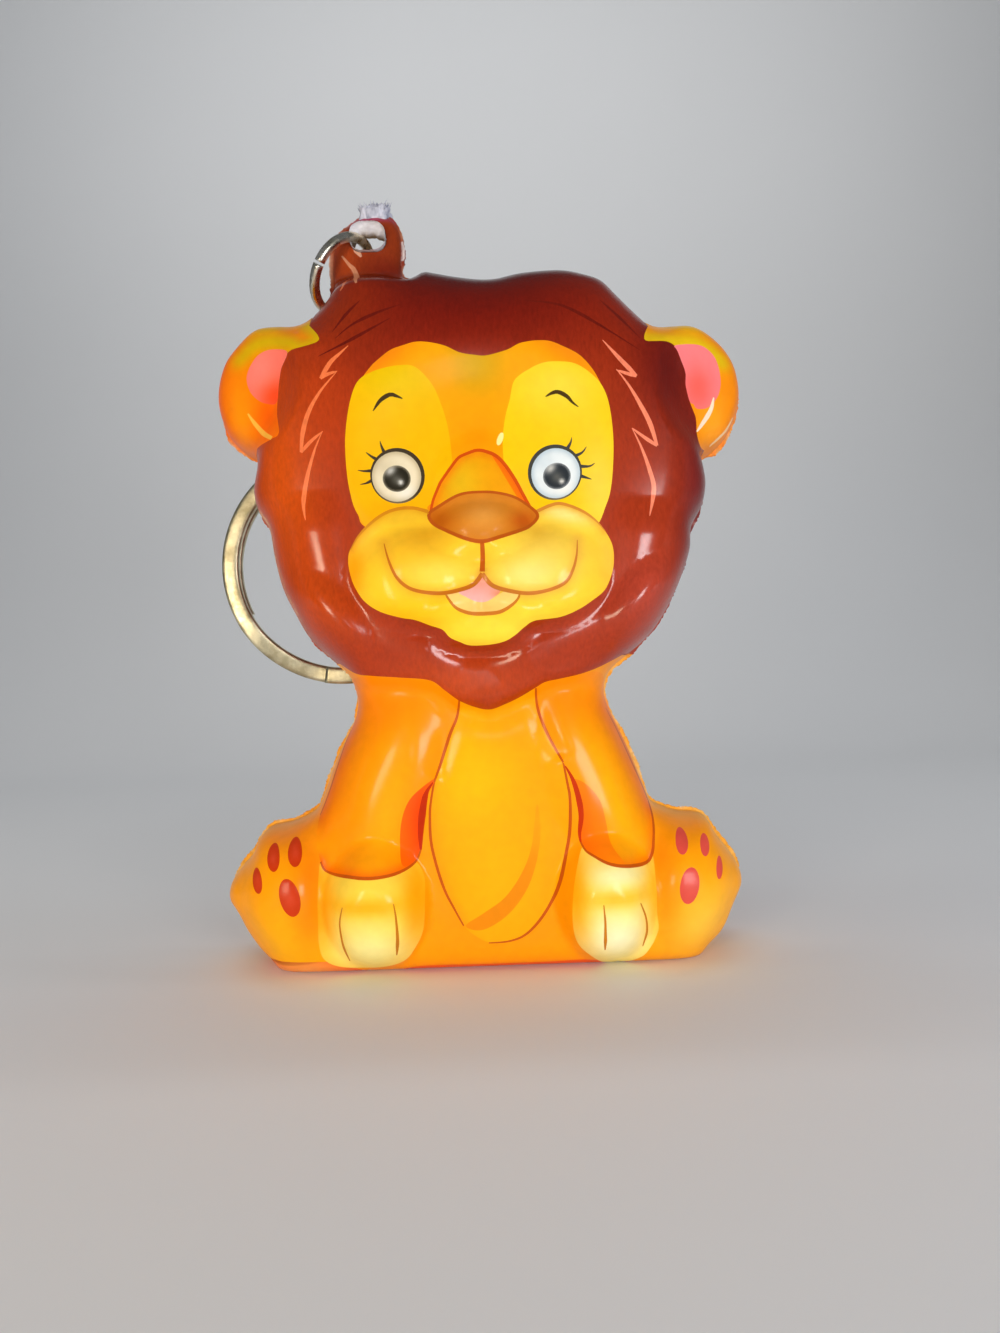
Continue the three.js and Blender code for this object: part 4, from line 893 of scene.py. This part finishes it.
def underside(points, edge, side):
    """The flat strip from a film's lower edge back to the seam plane."""
    strip = []
    for k in range(1, UNDERSIDE_ROWS + 1):
        row = points[edge]
        row[:, 1] += (SEAM_Y - row[:, 1]) * k / UNDERSIDE_ROWS
        row[:, 2] = 0
        strip.append(row)
    added = len(points) + np.arange(UNDERSIDE_ROWS * len(edge)).reshape(UNDERSIDE_ROWS, -1)
    index = np.vstack([edge, added])
    faces = []
    for k in range(UNDERSIDE_ROWS):
        for j in range(len(edge) - 1):
            quad = (index[k][j], index[k][j + 1], index[k + 1][j + 1], index[k + 1][j])
            faces.append(quad[::-side])
    return np.vstack(strip), faces


def flat_map(mesh, at, below):
    """A flat map of the print for the colours' texture, the underside below it."""
    uv = mesh.uv_layers.new(name="OFBake")
    coords = np.stack([(at[:, 0] + MAP_LEFT) / MAP_SPAN, (at[:, 2] + MAP_LOW - below) / MAP_SPAN], 1)
    uv.data.foreach_set("uv", coords.astype(np.float32).ravel())


def printed(layers, flat, faces):
    """The uppermost layer round each triangle's middle, and that layer's colour at its corners."""
    middle = flat[faces].mean(1)
    owner = np.zeros(len(faces), int)
    for k, entry in enumerate(layers):
        owner[inside(*middle.T, entry.outline)] = k
    corners = flat[faces.reshape(-1)]
    corner_owner = np.repeat(owner, 3)
    shades = np.zeros((len(corners), 3))
    for k in np.unique(owner):
        mine = corner_owner == k
        shades[mine] = colour_of(layers[k], *corners[mine].T)
    return owner, shades


def film(name, depth, side, layers, fine_spots=()):
    """A printed film with its relief; side is -1 before the seam plane and 1 behind it."""
    points = [sheet_points(GRID, RINGS, ROWS)]
    points += [close_points(spot, EYE_REACH, EYE_GRID) for spot in fine_spots]
    loops = [entry.outline for entry in layers if entry.outline is not layers[0].outline]
    flat, faces = triangulate(np.vstack(points), loops)
    on_side = (from_side(flat) < 1e-3) & (flat[:, 1] > 1e-3)
    stands = np.where(on_side, 0, depth(*flat.T))
    points = np.stack([flat[:, 0], SEAM_Y + side * stands, flat[:, 1]], 1)
    faces = faces[:, ::-side]
    a, b, c = (points[faces[:, k]] for k in range(3))
    wrong = np.cross(b - a, c - a)[:, 1] * side < 0
    faces = np.where(wrong[:, None], faces[:, ::-1], faces)
    edge = np.flatnonzero(flat[:, 1] < AT_BASE)
    edge = edge[np.argsort(flat[edge, 0])]
    strip_points, strip_faces = underside(points, edge, side)
    every_point = np.vstack([points, strip_points])
    obj = make_object(name, every_point, [*faces, *strip_faces], [MANE_FILM, FILM])
    mesh = obj.data

    owner, shades = printed(layers, flat, faces)
    # The underside takes the second layer's colour along the base: on the front film that is the base strip,
    # with its painted shade.
    strip_corners = every_point[np.array(strip_faces).reshape(-1)]
    strip_shades = colour_of(layers[1], strip_corners[:, 0], np.zeros(len(strip_corners)))
    paint(mesh, "CORNER", np.vstack([shades, strip_shades]))
    kinds = [layers[k].kind for k in owner] + [SKIN] * len(strip_faces)
    mesh.polygons.foreach_set("material_index", kinds)
    downward = np.tile((0.0, 0.0, -1.0), (len(strip_points), 1))
    every_normal = np.vstack([normals_of(depth, flat, side), downward])
    mesh.normals_split_custom_set_from_vertices([tuple(n) for n in every_normal])

    corner_vertex = np.concatenate([faces.reshape(-1), np.array(strip_faces).reshape(-1)])
    at = every_point[corner_vertex]
    outermost = points[edge, 1].min() if side < 0 else points[edge, 1].max()
    below = np.where(corner_vertex >= len(points), np.abs(at[:, 1] - outermost), 0)
    flat_map(mesh, at, below)
    return obj


# Materials

class Look:
    """A material with a Principled shader, and short ways to add the nodes that feed it."""

    def __init__(self, name):
        self.material = bpy.data.materials.new(name)
        self.material.use_nodes = True
        self.nodes = self.material.node_tree.nodes
        self.place = self.nodes.new("ShaderNodeTexCoord").outputs["Object"]

    def feed(self, node, inputs):
        """Gives a node's inputs their constants, or links them to other nodes' outputs."""
        for name, value in inputs.items():
            if isinstance(value, bpy.types.NodeSocket):
                self.material.node_tree.links.new(value, node.inputs[name])
            else:
                node.inputs[name].default_value = value

    def add(self, kind, inputs, **settings):
        node = self.nodes.new("ShaderNode" + kind)
        for name, value in settings.items():
            setattr(node, name, value)
        self.feed(node, inputs)
        return node

    def finish(self, inputs):
        self.feed(self.nodes["Principled BSDF"], inputs)
        return self.material

    def noise(self, scale, detail, rough=0.5, at=None):
        place = self.place if at is None else at
        inputs = {"Vector": place, "Scale": scale, "Detail": detail, "Roughness": rough}
        return self.add("TexNoise", inputs).outputs["Fac"]

    def upright(self, share):
        """Places drawn out upwards, so that a pattern on them turns to hairs."""
        return self.add("Mapping", {"Vector": self.place, "Scale": (1, 1, share)}).outputs["Vector"]

    def spread(self, value, low, high, to_low, to_high):
        inputs = {"Value": value, "From Min": low, "From Max": high, "To Min": to_low, "To Max": to_high}
        return self.add("MapRange", inputs).outputs["Result"]

    def bump(self, height, strength, distance_m, over=None):
        inputs = {"Height": height, "Strength": strength, "Distance": distance_m}
        if over is not None:
            inputs["Normal"] = over
        return self.add("Bump", inputs).outputs["Normal"]

    def tinted(self, colour, low, high, amount):
        """A colour made a little darker or lighter as the amount rises."""
        inputs = {"Color": colour, "Value": self.spread(amount, 0.3, 0.7, low, high)}
        return self.add("HueSaturation", inputs).outputs["Color"]

    def ramp(self, value, low, dark, high, light):
        node = self.add("ValToRGB", {"Fac": value})
        for stop, position, colour in zip(node.color_ramp.elements, (low, high), (dark, light)):
            stop.position = position
            stop.color = colour
        return node.outputs["Color"]

    def mixed(self, factor, first, second):
        inputs = {"Factor": factor, "A": first, "B": second}
        return self.add("Mix", inputs, data_type="RGBA").outputs["Result"]

    def print_colour(self):
        return self.add("VertexColor", {}, layer_name="Print").outputs["Color"]


def srgb(red, green, blue):
    """An opaque colour given as 0 to 255, as the shaders take it."""
    return (*to_linear((red, green, blue)), 1)


def skin_film():
    look = Look("printed_film")
    pores = look.bump(look.noise(2600, 2), 0.10, 0.00004)
    return look.finish({
        "Base Color": look.tinted(look.print_colour(), 0.97, 1.03, look.noise(900, 2)),
        "Roughness": look.spread(look.noise(260, 3), 0.35, 0.65, 0.32, 0.46),
        "Normal": look.bump(look.noise(240, 2), 0.22, 0.0002, pores),
        "Specular IOR Level": 0.05,
        "Coat Weight": 0.22,
        "Coat Roughness": 0.15,
    })


def mane_film():
    look = Look("printed_mane_film")
    hair = look.noise(3200, 3, 0.6, look.upright(0.4))
    tufts = look.noise(420, 3, at=look.upright(0.6))
    grain = look.bump(hair, 0.6, 0.00006)
    return look.finish({
        "Base Color": look.tinted(look.tinted(look.print_colour(), 0.88, 1.12, hair), 0.95, 1.05, tufts),
        "Roughness": look.spread(hair, 0.35, 0.65, 0.36, 0.52),
        "Normal": look.bump(look.noise(260, 2), 0.3, 0.0002, grain),
        "Specular IOR Level": 0.05,
        "Coat Weight": 0.65,
        "Coat Roughness": 0.17,
    })


# Where the foam's colours change, in metres: from which depth and below which height painted shade browns it
# inside the hole, and above which height it is torn
SHADE_BEHIND = (-0.0006, 0.0006)
SHADE_BELOW = (0.0836, 0.0839)
TORN_ABOVE = (0.084, 0.0846)


def foam_material():
    """Pale foam, browned with painted shade towards the back and low inside the hole, and with fibres in the
    torn tuft.
    """
    look = Look("foam")
    cells = look.add("TexVoronoi", {"Vector": look.place, "Scale": 2600}).outputs["Distance"]
    pale = look.ramp(look.noise(700, 4), 0.3, srgb(216, 210, 212), 0.7, srgb(250, 248, 254))
    parts = look.add("SeparateXYZ", {"Vector": look.place}).outputs
    deep = look.spread(parts["Y"], *SHADE_BEHIND, 0, 1)
    low = look.spread(parts["Z"], *SHADE_BELOW, 1, 0)
    stained = look.add("Math", {}, operation="MULTIPLY")
    for socket, value in zip(stained.inputs, (deep, low)):
        look.material.node_tree.links.new(value, socket)
    # The brown mixed in here is painted shade deep in the hole.
    inner = look.mixed(stained.outputs["Value"], pale, srgb(166, 136, 104))
    fibres = look.ramp(look.noise(2600, 3, at=look.upright(0.12)), 0.3, srgb(146, 148, 168), 0.66,
                       srgb(226, 226, 238))
    torn = look.spread(parts["Z"], *TORN_ABOVE, 0, 1)
    return look.finish({
        "Base Color": look.mixed(torn, inner, fibres),
        "Roughness": look.spread(cells, 0, 1, 0.95, 0.8),
        "Normal": look.bump(cells, 0.6, 0.0001),
        "Subsurface Weight": 0.15,
        "Subsurface Radius": (0.0006, 0.0005, 0.0004),
    })


def seam_material():
    """The trimmed edge of the two films: the print's colours, worn pale in places."""
    look = Look("trimmed_seam")
    return look.finish({
        "Base Color": look.tinted(look.print_colour(), 0.85, 1.15, look.noise(2200, 3)),
        "Roughness": look.spread(look.noise(900, 3), 0.3, 0.7, 0.4, 0.75),
        "Normal": look.bump(look.noise(3000, 3), 0.5, 0.0001),
        "Coat Weight": 0.2,
        "Coat Roughness": 0.3,
    })


SCRATCHES = 0.3        # how strongly the plating's fine scratches show


def metal(name, light, dark, low, high):
    """Worn plating: light and dark patches, with a roughness between low and high."""
    look = Look(name)
    fine = look.bump(look.noise(4000, 2), SCRATCHES, 0.00003)
    return look.finish({
        "Base Color": look.ramp(look.noise(500, 4, 0.6), 0.35, srgb(*dark), 0.62, srgb(*light)),
        "Roughness": look.spread(look.noise(1500, 4), 0.35, 0.65, low, high),
        "Normal": look.bump(look.noise(450, 2), SCRATCHES, 0.0001, fine),
        "Metallic": 1.0,
    })


def stage_material():
    look = Look("pale_stage")
    return look.finish({
        "Base Color": look.ramp(look.noise(8, 2), 0, (0.76, 0.77, 0.78, 1), 1, (0.8, 0.81, 0.82, 1)),
        "Roughness": 0.8,
    })


FILM = skin_film()
MANE_FILM = mane_film()
FOAM = foam_material()
WIRE = metal("nickel_wire", light=(246, 242, 230), dark=(214, 206, 182), low=0.2, high=0.4)
RING_WIRE = metal("ring_steel", light=(226, 218, 186), dark=(184, 174, 140), low=0.28, high=0.42)


front = film("front_film", front_depth, -1, FRONT, EYES.values())
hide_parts("front_skin")
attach(front, "lion")
back = film("back_film", back_depth, 1, BACK)
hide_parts("back_skin")
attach(back, "lion")


# The seam: what stands out where the films are joined

FLANGE_THICKNESS = 0.34
FLANGE_STEP = 0.2
FLANGE_WAVE = 9        # steps from one slow change of its width to the next, and of its wear
WEAR_WAVE = 5
WORN = (236, 214, 200)
# Its section, point by point: what share of its reach the point stands out, or None for one rooted in the
# film, and how many half thicknesses it lies from the seam plane. Then the share of the wear each shows
FLANGE_ROOT = -0.12
FLANGE_SECTION = ((None, -1.6), (0.6, -1), (1, -0.4), (1, 0.4), (0.6, 1), (None, 1.6))
FLANGE_WEAR = (0.1, 0.5, 1, 1, 0.5, 0.1)


def edge_shades(at, count, rng):
    """The front's print carried on over the edge, worn pale in places."""
    shades = np.zeros((len(at), 3))
    for entry in FRONT:
        mine = inside(*at.T, entry.outline)
        if mine.any():
            shades[mine] = colour_of(entry, *at[mine].T)
    worn = np.array([rng.random() for _ in range(count // WEAR_WAVE + 2)])
    wear = np.interp(np.arange(count) / WEAR_WAVE, np.arange(len(worn)), worn)
    pale = np.clip((wear - 0.45) * 2.2, 0, 1)
    amount = (np.repeat(pale, len(FLANGE_WEAR)) * np.tile(FLANGE_WEAR, count))[:, None] * 0.85
    return shades + (np.array(WORN) - shades) * amount


def flange():
    """The thin trimmed edge where the films are joined, ragged along its outside."""
    rng = random.Random(4)
    fine = spline(SIDE, FLANGE_STEP)
    run = np.linspace(0, len(SIDE) - 1, len(fine))
    outward = np.stack([np.interp(run, np.arange(len(SIDE)), -INWARD[:, k]) for k in range(2)], 1)
    slow = [rng.uniform(0.16, 0.5) for _ in range(len(fine) // FLANGE_WAVE + 2)]
    count, around = len(fine), len(FLANGE_SECTION)
    points = []
    for i, (place, out) in enumerate(zip(fine, outward)):
        reach = np.interp(i / FLANGE_WAVE, range(len(slow)), slow) + rng.uniform(-0.06, 0.09)
        reach *= float(smooth_step(0, 2.0, place[1]))
        for share, aside in FLANGE_SECTION:
            x, z = place + out * (FLANGE_ROOT if share is None else reach * share)
            points.append((x, SEAM_Y + aside * FLANGE_THICKNESS / 2, max(z, 0.0)))
    faces = []
    for i in range(count - 1):
        for a in range(i * around, i * around + around - 1):
            faces.append((a, a + 1, a + 1 + around, a + around))
    seam = make_object("seam_edge", points, faces, [seam_material()])
    paint(seam.data, "POINT", edge_shades(np.array(points)[:, (0, 2)], count, rng))
    return seam


seam = flange()
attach(seam, "lion")


# Foam: what shows of it is the wall of the tab's hole and the torn tuft

FOAM_BELOW_FILM = 2.2
FOAM_GRID = 1.6
FOAM_RINGS = (0.5, 1.2)
FOAM_ROWS = (0.6, 1.6)
WALL_ROWS = 12
LIP = 0.9              # how far the foam sags into the upper part of the hole
TUFT_MIDDLE = (-10.7, SEAM_Y, 85.2)
TUFT_SIZE = (3.7, 2.4, 2.4)
TUFT_ROWS = 14
TUFT_AROUND = 26
FIBRES = 170


def band_faces(rows, around, start=0):
    """Quads between rows of points that each close round."""
    faces = []
    for k in range(rows):
        for i in range(around):
            a, b = start + k * around + i, start + k * around + (i + 1) % around
            faces.append((a, b, b + around, a + around))
    return faces


def hole_wall(side):
    """From the seam plane out to the film, a little smaller than the film's hole, and lumpy."""
    loop = spline(hole_outline(-0.06), 0.16, True)
    rng = random.Random(7)
    centre = np.array(HOLE_MIDDLE)
    reach_up = loop[:, 1].max() - centre[1]
    depth = (TAB_FRONT if side < 0 else TAB_BACK) - 0.12
    lip_ends = (0.35, 1) if side < 0 else (0, 0.25)
    points = []
    for k in range(WALL_ROWS + 1):
        share = k / WALL_ROWS
        for p in loop:
            inward = (centre - p) / max(np.linalg.norm(centre - p), 1e-6)
            bulge = 0.1 * math.sin(math.pi * min(1, share + 0.15)) + rng.uniform(-0.035, 0.035)
            lip = LIP * smooth_step(0, 0.6, (p[1] - centre[1]) / reach_up)
            bulge += lip * (1 - smooth_step(*lip_ends, share))
            x, z = p + inward * bulge
            points.append((x, SEAM_Y + side * share * depth, z))
    return points, [quad[::-side] for quad in band_faces(WALL_ROWS, len(loop))]


def foam_half(depth, side):
    """Half of the foam body, under its film, with the wall of the hole."""
    flat, faces = triangulate(sheet_points(FOAM_GRID, FOAM_RINGS, FOAM_ROWS), [])
    stands = np.clip(depth(*flat.T) - FOAM_BELOW_FILM, 0, None)
    stands = np.where((from_side(flat) < 0.3) | (flat[:, 1] < AT_BASE), 0, stands)
    points = [(x, SEAM_Y + side * h, max(z, 0.5)) for (x, z), h in zip(flat, stands)]
    wall_points, wall_faces = hole_wall(side)
    start = len(points)
    faces = [tuple(f[::-side]) for f in faces] + [tuple(i + start for i in f) for f in wall_faces]
    return points + wall_points, faces


def fibre(rng, middle, half):
    """Three rows of three points along one fibre that leans out of the tuft."""
    a = rng.uniform(-1, 1)
    root = middle + np.array((a * half[0] * 0.9, rng.uniform(-0.8, 0.8) * half[1],
                              half[2] * (0.35 + 0.5 * rng.random())))
    lean = np.array((a * 0.55 + rng.uniform(-0.25, 0.25), rng.uniform(-0.4, 0.4), 1.0))
    lean /= np.linalg.norm(lean)
    long = rng.uniform(0.3, 0.85)
    thick = rng.uniform(0.05, 0.11)
    aside = np.cross(lean, (0, 1, 0))
    aside /= np.linalg.norm(aside)
    other = np.cross(lean, aside)
    bend = np.array((rng.uniform(-0.12, 0.12), rng.uniform(-0.12, 0.12), 0))
    points = []
    for share, width in ((0, 1), (0.5, 0.75), (1, 0.15)):
        at = root + lean * long * share + bend * share ** 2
        for k in range(3):
            turn = 2 * math.pi * k / 3
            points.append(tuple(at + (aside * math.cos(turn) + other * math.sin(turn)) * thick * width))
    return points


def tuft():
    """The torn top of the tab: a crumbly lump with foam fibres standing off it."""
    rng = random.Random(11)
    middle, half = np.array(TUFT_MIDDLE), np.array(TUFT_SIZE) / 2
    points = []
    for k in range(TUFT_ROWS + 1):
        up = -math.pi / 2 + math.pi * k / TUFT_ROWS
        for i in range(TUFT_AROUND):
            a = 2 * math.pi * i / TUFT_AROUND
            d = np.array((math.cos(up) * math.cos(a), math.cos(up) * math.sin(a), math.sin(up)))
            d = np.sign(d) * np.abs(d) ** 0.7
            lump = 1 + 0.1 * math.sin(3 * a + 5 * up) + 0.07 * math.sin(7 * a - 4 * up)
            points.append(tuple(middle + d * half * lump * (0.94 + rng.uniform(0, 0.08))))
    faces = band_faces(TUFT_ROWS, TUFT_AROUND)
    for _ in range(FIBRES):
        start = len(points)
        points += fibre(rng, middle, half)
        faces += band_faces(2, 3, start) + [(start + 6, start + 7, start + 8)]
    return points, faces


foam_front = make_object("foam_front", *foam_half(front_depth, -1), [FOAM])
back_points, back_faces = foam_half(back_depth, 1)
tuft_points, tuft_faces = tuft()
shift = len(back_points)
foam_back = make_object("foam_back", back_points + tuft_points,
                        back_faces + [tuple(i + shift for i in f) for f in tuft_faces], [FOAM])
for piece in (foam_front, foam_back):
    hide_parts("foam_core")
    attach(piece, "lion")
for piece in (front, foam_front):
    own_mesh(piece)


# Wires

def swept(name, places, axis, section, material):
    """A section run along a path, with its first direction square to the axis and the path, and flat ends."""
    places = np.array(places)
    ahead = np.gradient(places, axis=0)
    ahead /= np.linalg.norm(ahead, axis=1)[:, None]
    points = []
    for p, t in zip(places, ahead):
        side = np.cross(axis, t)
        side /= np.linalg.norm(side)
        up = np.cross(t, side)
        points += [p + side * u + up * v for u, v in section]
    n, last = len(section), (len(places) - 1) * len(section)
    faces = [(a, d, c, b) for a, b, c, d in band_faces(len(places) - 1, n)]
    faces += [tuple(range(n)), tuple(last + i for i in reversed(range(n)))]
    obj = make_object(name, points, faces, [material])
    for polygon in list(obj.data.polygons)[-2:]:
        polygon.use_smooth = False
    return obj


def rounded_section(width, thickness, power, steps=20):
    """A section between an ellipse, power 2, and a rectangle, as the power grows."""
    out = []
    for i in range(steps):
        a = 2 * math.pi * (i + 0.5) / steps
        c, s = math.cos(a), math.sin(a)
        out.append((math.copysign(abs(c) ** (2 / power), c) * width / 2,
                    math.copysign(abs(s) ** (2 / power), s) * thickness / 2))
    return out


WIRE_SLIT = 0.3        # the gap between the ends of a closed wire
RING_CENTRE = np.array((-14.616, 1.0, 78.568))
RING_RADIUS = 4.35
RING_WIRE_SIZE = 1.1
RING_LONG = np.array((0.614, 0.0, 0.789))
RING_FORWARD = np.array((-0.316, -0.917, 0.246))
RING_SLIT_TURN = math.radians(108)
LINK_WIRE = 1.2
LINK_ROUND = 2.3
LINK_STRAIGHT = 0.8
# Each link of the chain: its middle, the way it hangs, and the way across it
CHAIN = [
    ((-13.2, 6.515, 76.695), (0.145, 0.966, -0.215), (0.659, -0.256, -0.707)),
    ((-11.358, 8.701, 73.628), (-0.217, 0.306, -0.927), (0.96, 0.237, -0.146)),
    ((-12.371, 10.056, 69.247), (-0.211, 0.202, -0.956), (-0.063, 0.973, 0.22)),
    ((-13.351, 11.007, 64.75), (-0.196, 0.202, -0.96), (-0.978, 0.033, 0.207)),
    ((-14.26, 11.796, 60.22), (-0.223, 0.005, -0.975), (-0.168, -0.985, 0.034)),
]
SPLIT_CENTRE = np.array((-17.5195, 11.8001, 45.9818))
SPLIT_RADIUS = 13.95
BAND_WIDTH = 2.1
BAND_THICKNESS = 1.15
TURN_PITCH = 1.65
JOG_MIDDLE = math.radians(233)     # where the split ring steps from one turn to the other
JOG_HALF = math.radians(24)
END_LEAD = math.radians(3)


def hang_ring():
    slit = WIRE_SLIT / RING_RADIUS
    turns = np.linspace(RING_SLIT_TURN + slit / 2, RING_SLIT_TURN + 2 * math.pi - slit / 2, 121)
    places = [RING_CENTRE + RING_RADIUS * (RING_LONG * math.cos(t) + RING_FORWARD * math.sin(t))
              for t in turns]
    section = rounded_section(RING_WIRE_SIZE, RING_WIRE_SIZE, 2.6)
    return swept("hang_ring_wire", places, np.cross(RING_LONG, RING_FORWARD), section, WIRE)


def chain_link(index):
    middle, along, across = (np.array(v) for v in CHAIN[index])
    beside = middle + across * LINK_ROUND
    places = [beside + along * d for d in np.linspace(WIRE_SLIT / 2, LINK_STRAIGHT, 4)[:-1]]
    for down, start in ((LINK_STRAIGHT, 0), (-LINK_STRAIGHT, math.pi)):
        for t in np.linspace(start, start + math.pi, 37):
            places.append(middle + along * (down + math.sin(t) * LINK_ROUND)
                          + across * math.cos(t) * LINK_ROUND)
    places += [beside + along * d for d in np.linspace(-LINK_STRAIGHT, -WIRE_SLIT / 2, 4)[1:]]
    section = rounded_section(LINK_WIRE, LINK_WIRE, 2.4)
    return swept("link_wire_%d" % (index + 1), places, np.cross(along, across), section, WIRE)


def split_ring():
    """A flat wire of two turns that lie against each other, with a step from one to the other."""
    lead = JOG_HALF + END_LEAD
    places = []
    for turn in np.linspace(lead, 4 * math.pi - lead, 361):
        rise = float(smooth_step(2 * math.pi - JOG_HALF, 2 * math.pi + JOG_HALF, turn))
        angle = JOG_MIDDLE + turn
        places.append(SPLIT_CENTRE + np.array((SPLIT_RADIUS * math.cos(angle), (rise - 0.5) * TURN_PITCH,
                                               SPLIT_RADIUS * math.sin(angle))))
    section = rounded_section(BAND_WIDTH, BAND_THICKNESS, 4.5, 28)
    return swept("split_ring_band", places, np.array((0.0, 1.0, 0.0)), section, RING_WIRE)


ring = hang_ring()
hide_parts("hang_ring")
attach(ring, "hang_ring")
for i in range(len(CHAIN)):
    link = chain_link(i)
    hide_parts("chain_link_%d" % (i + 1))
    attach(link, "link_%d" % (i + 1))
key_ring = split_ring()
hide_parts("split_ring")
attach(key_ring, "key_ring")


# Stage and light

STAGE_REACH = 8000
BACKDROP_AT = 400
BACKDROP_BEND = 200
BACKDROP_TOP = 1500

# Lamps: name, place, aim, size, watts, colour, spread in degrees, and whether they show in the gloss
LAMPS = [
    ("window", (106, -230, 40), (4, 0, 34), (84, 56), 0.082, (0.97, 0.98, 1), 100, True),
    ("lamp", (-112, -222, 40), (0, 0, 34), (44, 50), 0.039, (1, 0.84, 0.62), 100, True),
    ("catch_light", (10, -262, 40), (2, 0, 36), (30, 24), 0.012, (1, 1, 1), 180, True),
    ("front_left", (-90, -290, 70), (0, 0, 28), (140, 90), 0.06, (1, 0.96, 0.9), 100, False),
    ("overhead", (-40, -60, 420), (0, 0, 40), (300, 260), 0.12, (1, 1, 1), 180, False),
    ("left_side", (-240, -60, 50), (0, 0, 24), (60, 120), 0.12, (1, 0.94, 0.84), 180, False),
    ("right_side", (240, -60, 50), (0, 0, 24), (60, 120), 0.15, (0.9, 0.93, 1), 180, False),
    ("backdrop_light", (0, 120, 430), (0, 400, 150), (500, 80), 0.7, (1, 1, 1), 180, False),
]


def make_stage():
    """A floor that turns up into a backdrop."""
    foot = BACKDROP_AT - BACKDROP_BEND
    profile = [(-STAGE_REACH, 0), (foot, 0)]
    profile += [(foot + BACKDROP_BEND * math.sin(t), BACKDROP_BEND - BACKDROP_BEND * math.cos(t))
                for t in np.linspace(0.1, math.pi / 2, 16)]
    profile.append((BACKDROP_AT, BACKDROP_TOP))
    points = [(x, y, z) for x in (-STAGE_REACH, STAGE_REACH) for y, z in profile]
    n = len(profile)
    faces = [(i, i + 1, n + i + 1, n + i) for i in range(n - 1)]
    make_object("stage", points, [f[::-1] for f in faces], [stage_material()])


def area_light(name, at, target, size, watts, colour, spread, in_gloss):
    """A lamp that the camera doesn't see, aimed at its target."""
    data = bpy.data.lights.new(name, "AREA")
    data.shape = "RECTANGLE"
    data.size, data.size_y = (s * MM for s in size)
    data.energy = watts
    data.color = colour
    data.spread = math.radians(spread)
    light = bpy.data.objects.new(name, data)
    bpy.context.scene.collection.objects.link(light)
    light.location = Vector(at) * MM
    light.rotation_euler = (Vector(target) - Vector(at)).to_track_quat("-Z", "Y").to_euler()
    light.visible_camera = False
    light.visible_glossy = in_gloss


def make_world():
    world = bpy.data.worlds.new("studio")
    world.use_nodes = True
    sky = world.node_tree.nodes["Background"].inputs
    sky["Color"].default_value = (0.86, 0.9, 0.96, 1)
    sky["Strength"].default_value = 0.14
    bpy.context.scene.world = world


make_stage()
make_world()
for entry in LAMPS:
    area_light(*entry)
bpy.context.scene.view_settings.view_transform = "Standard"
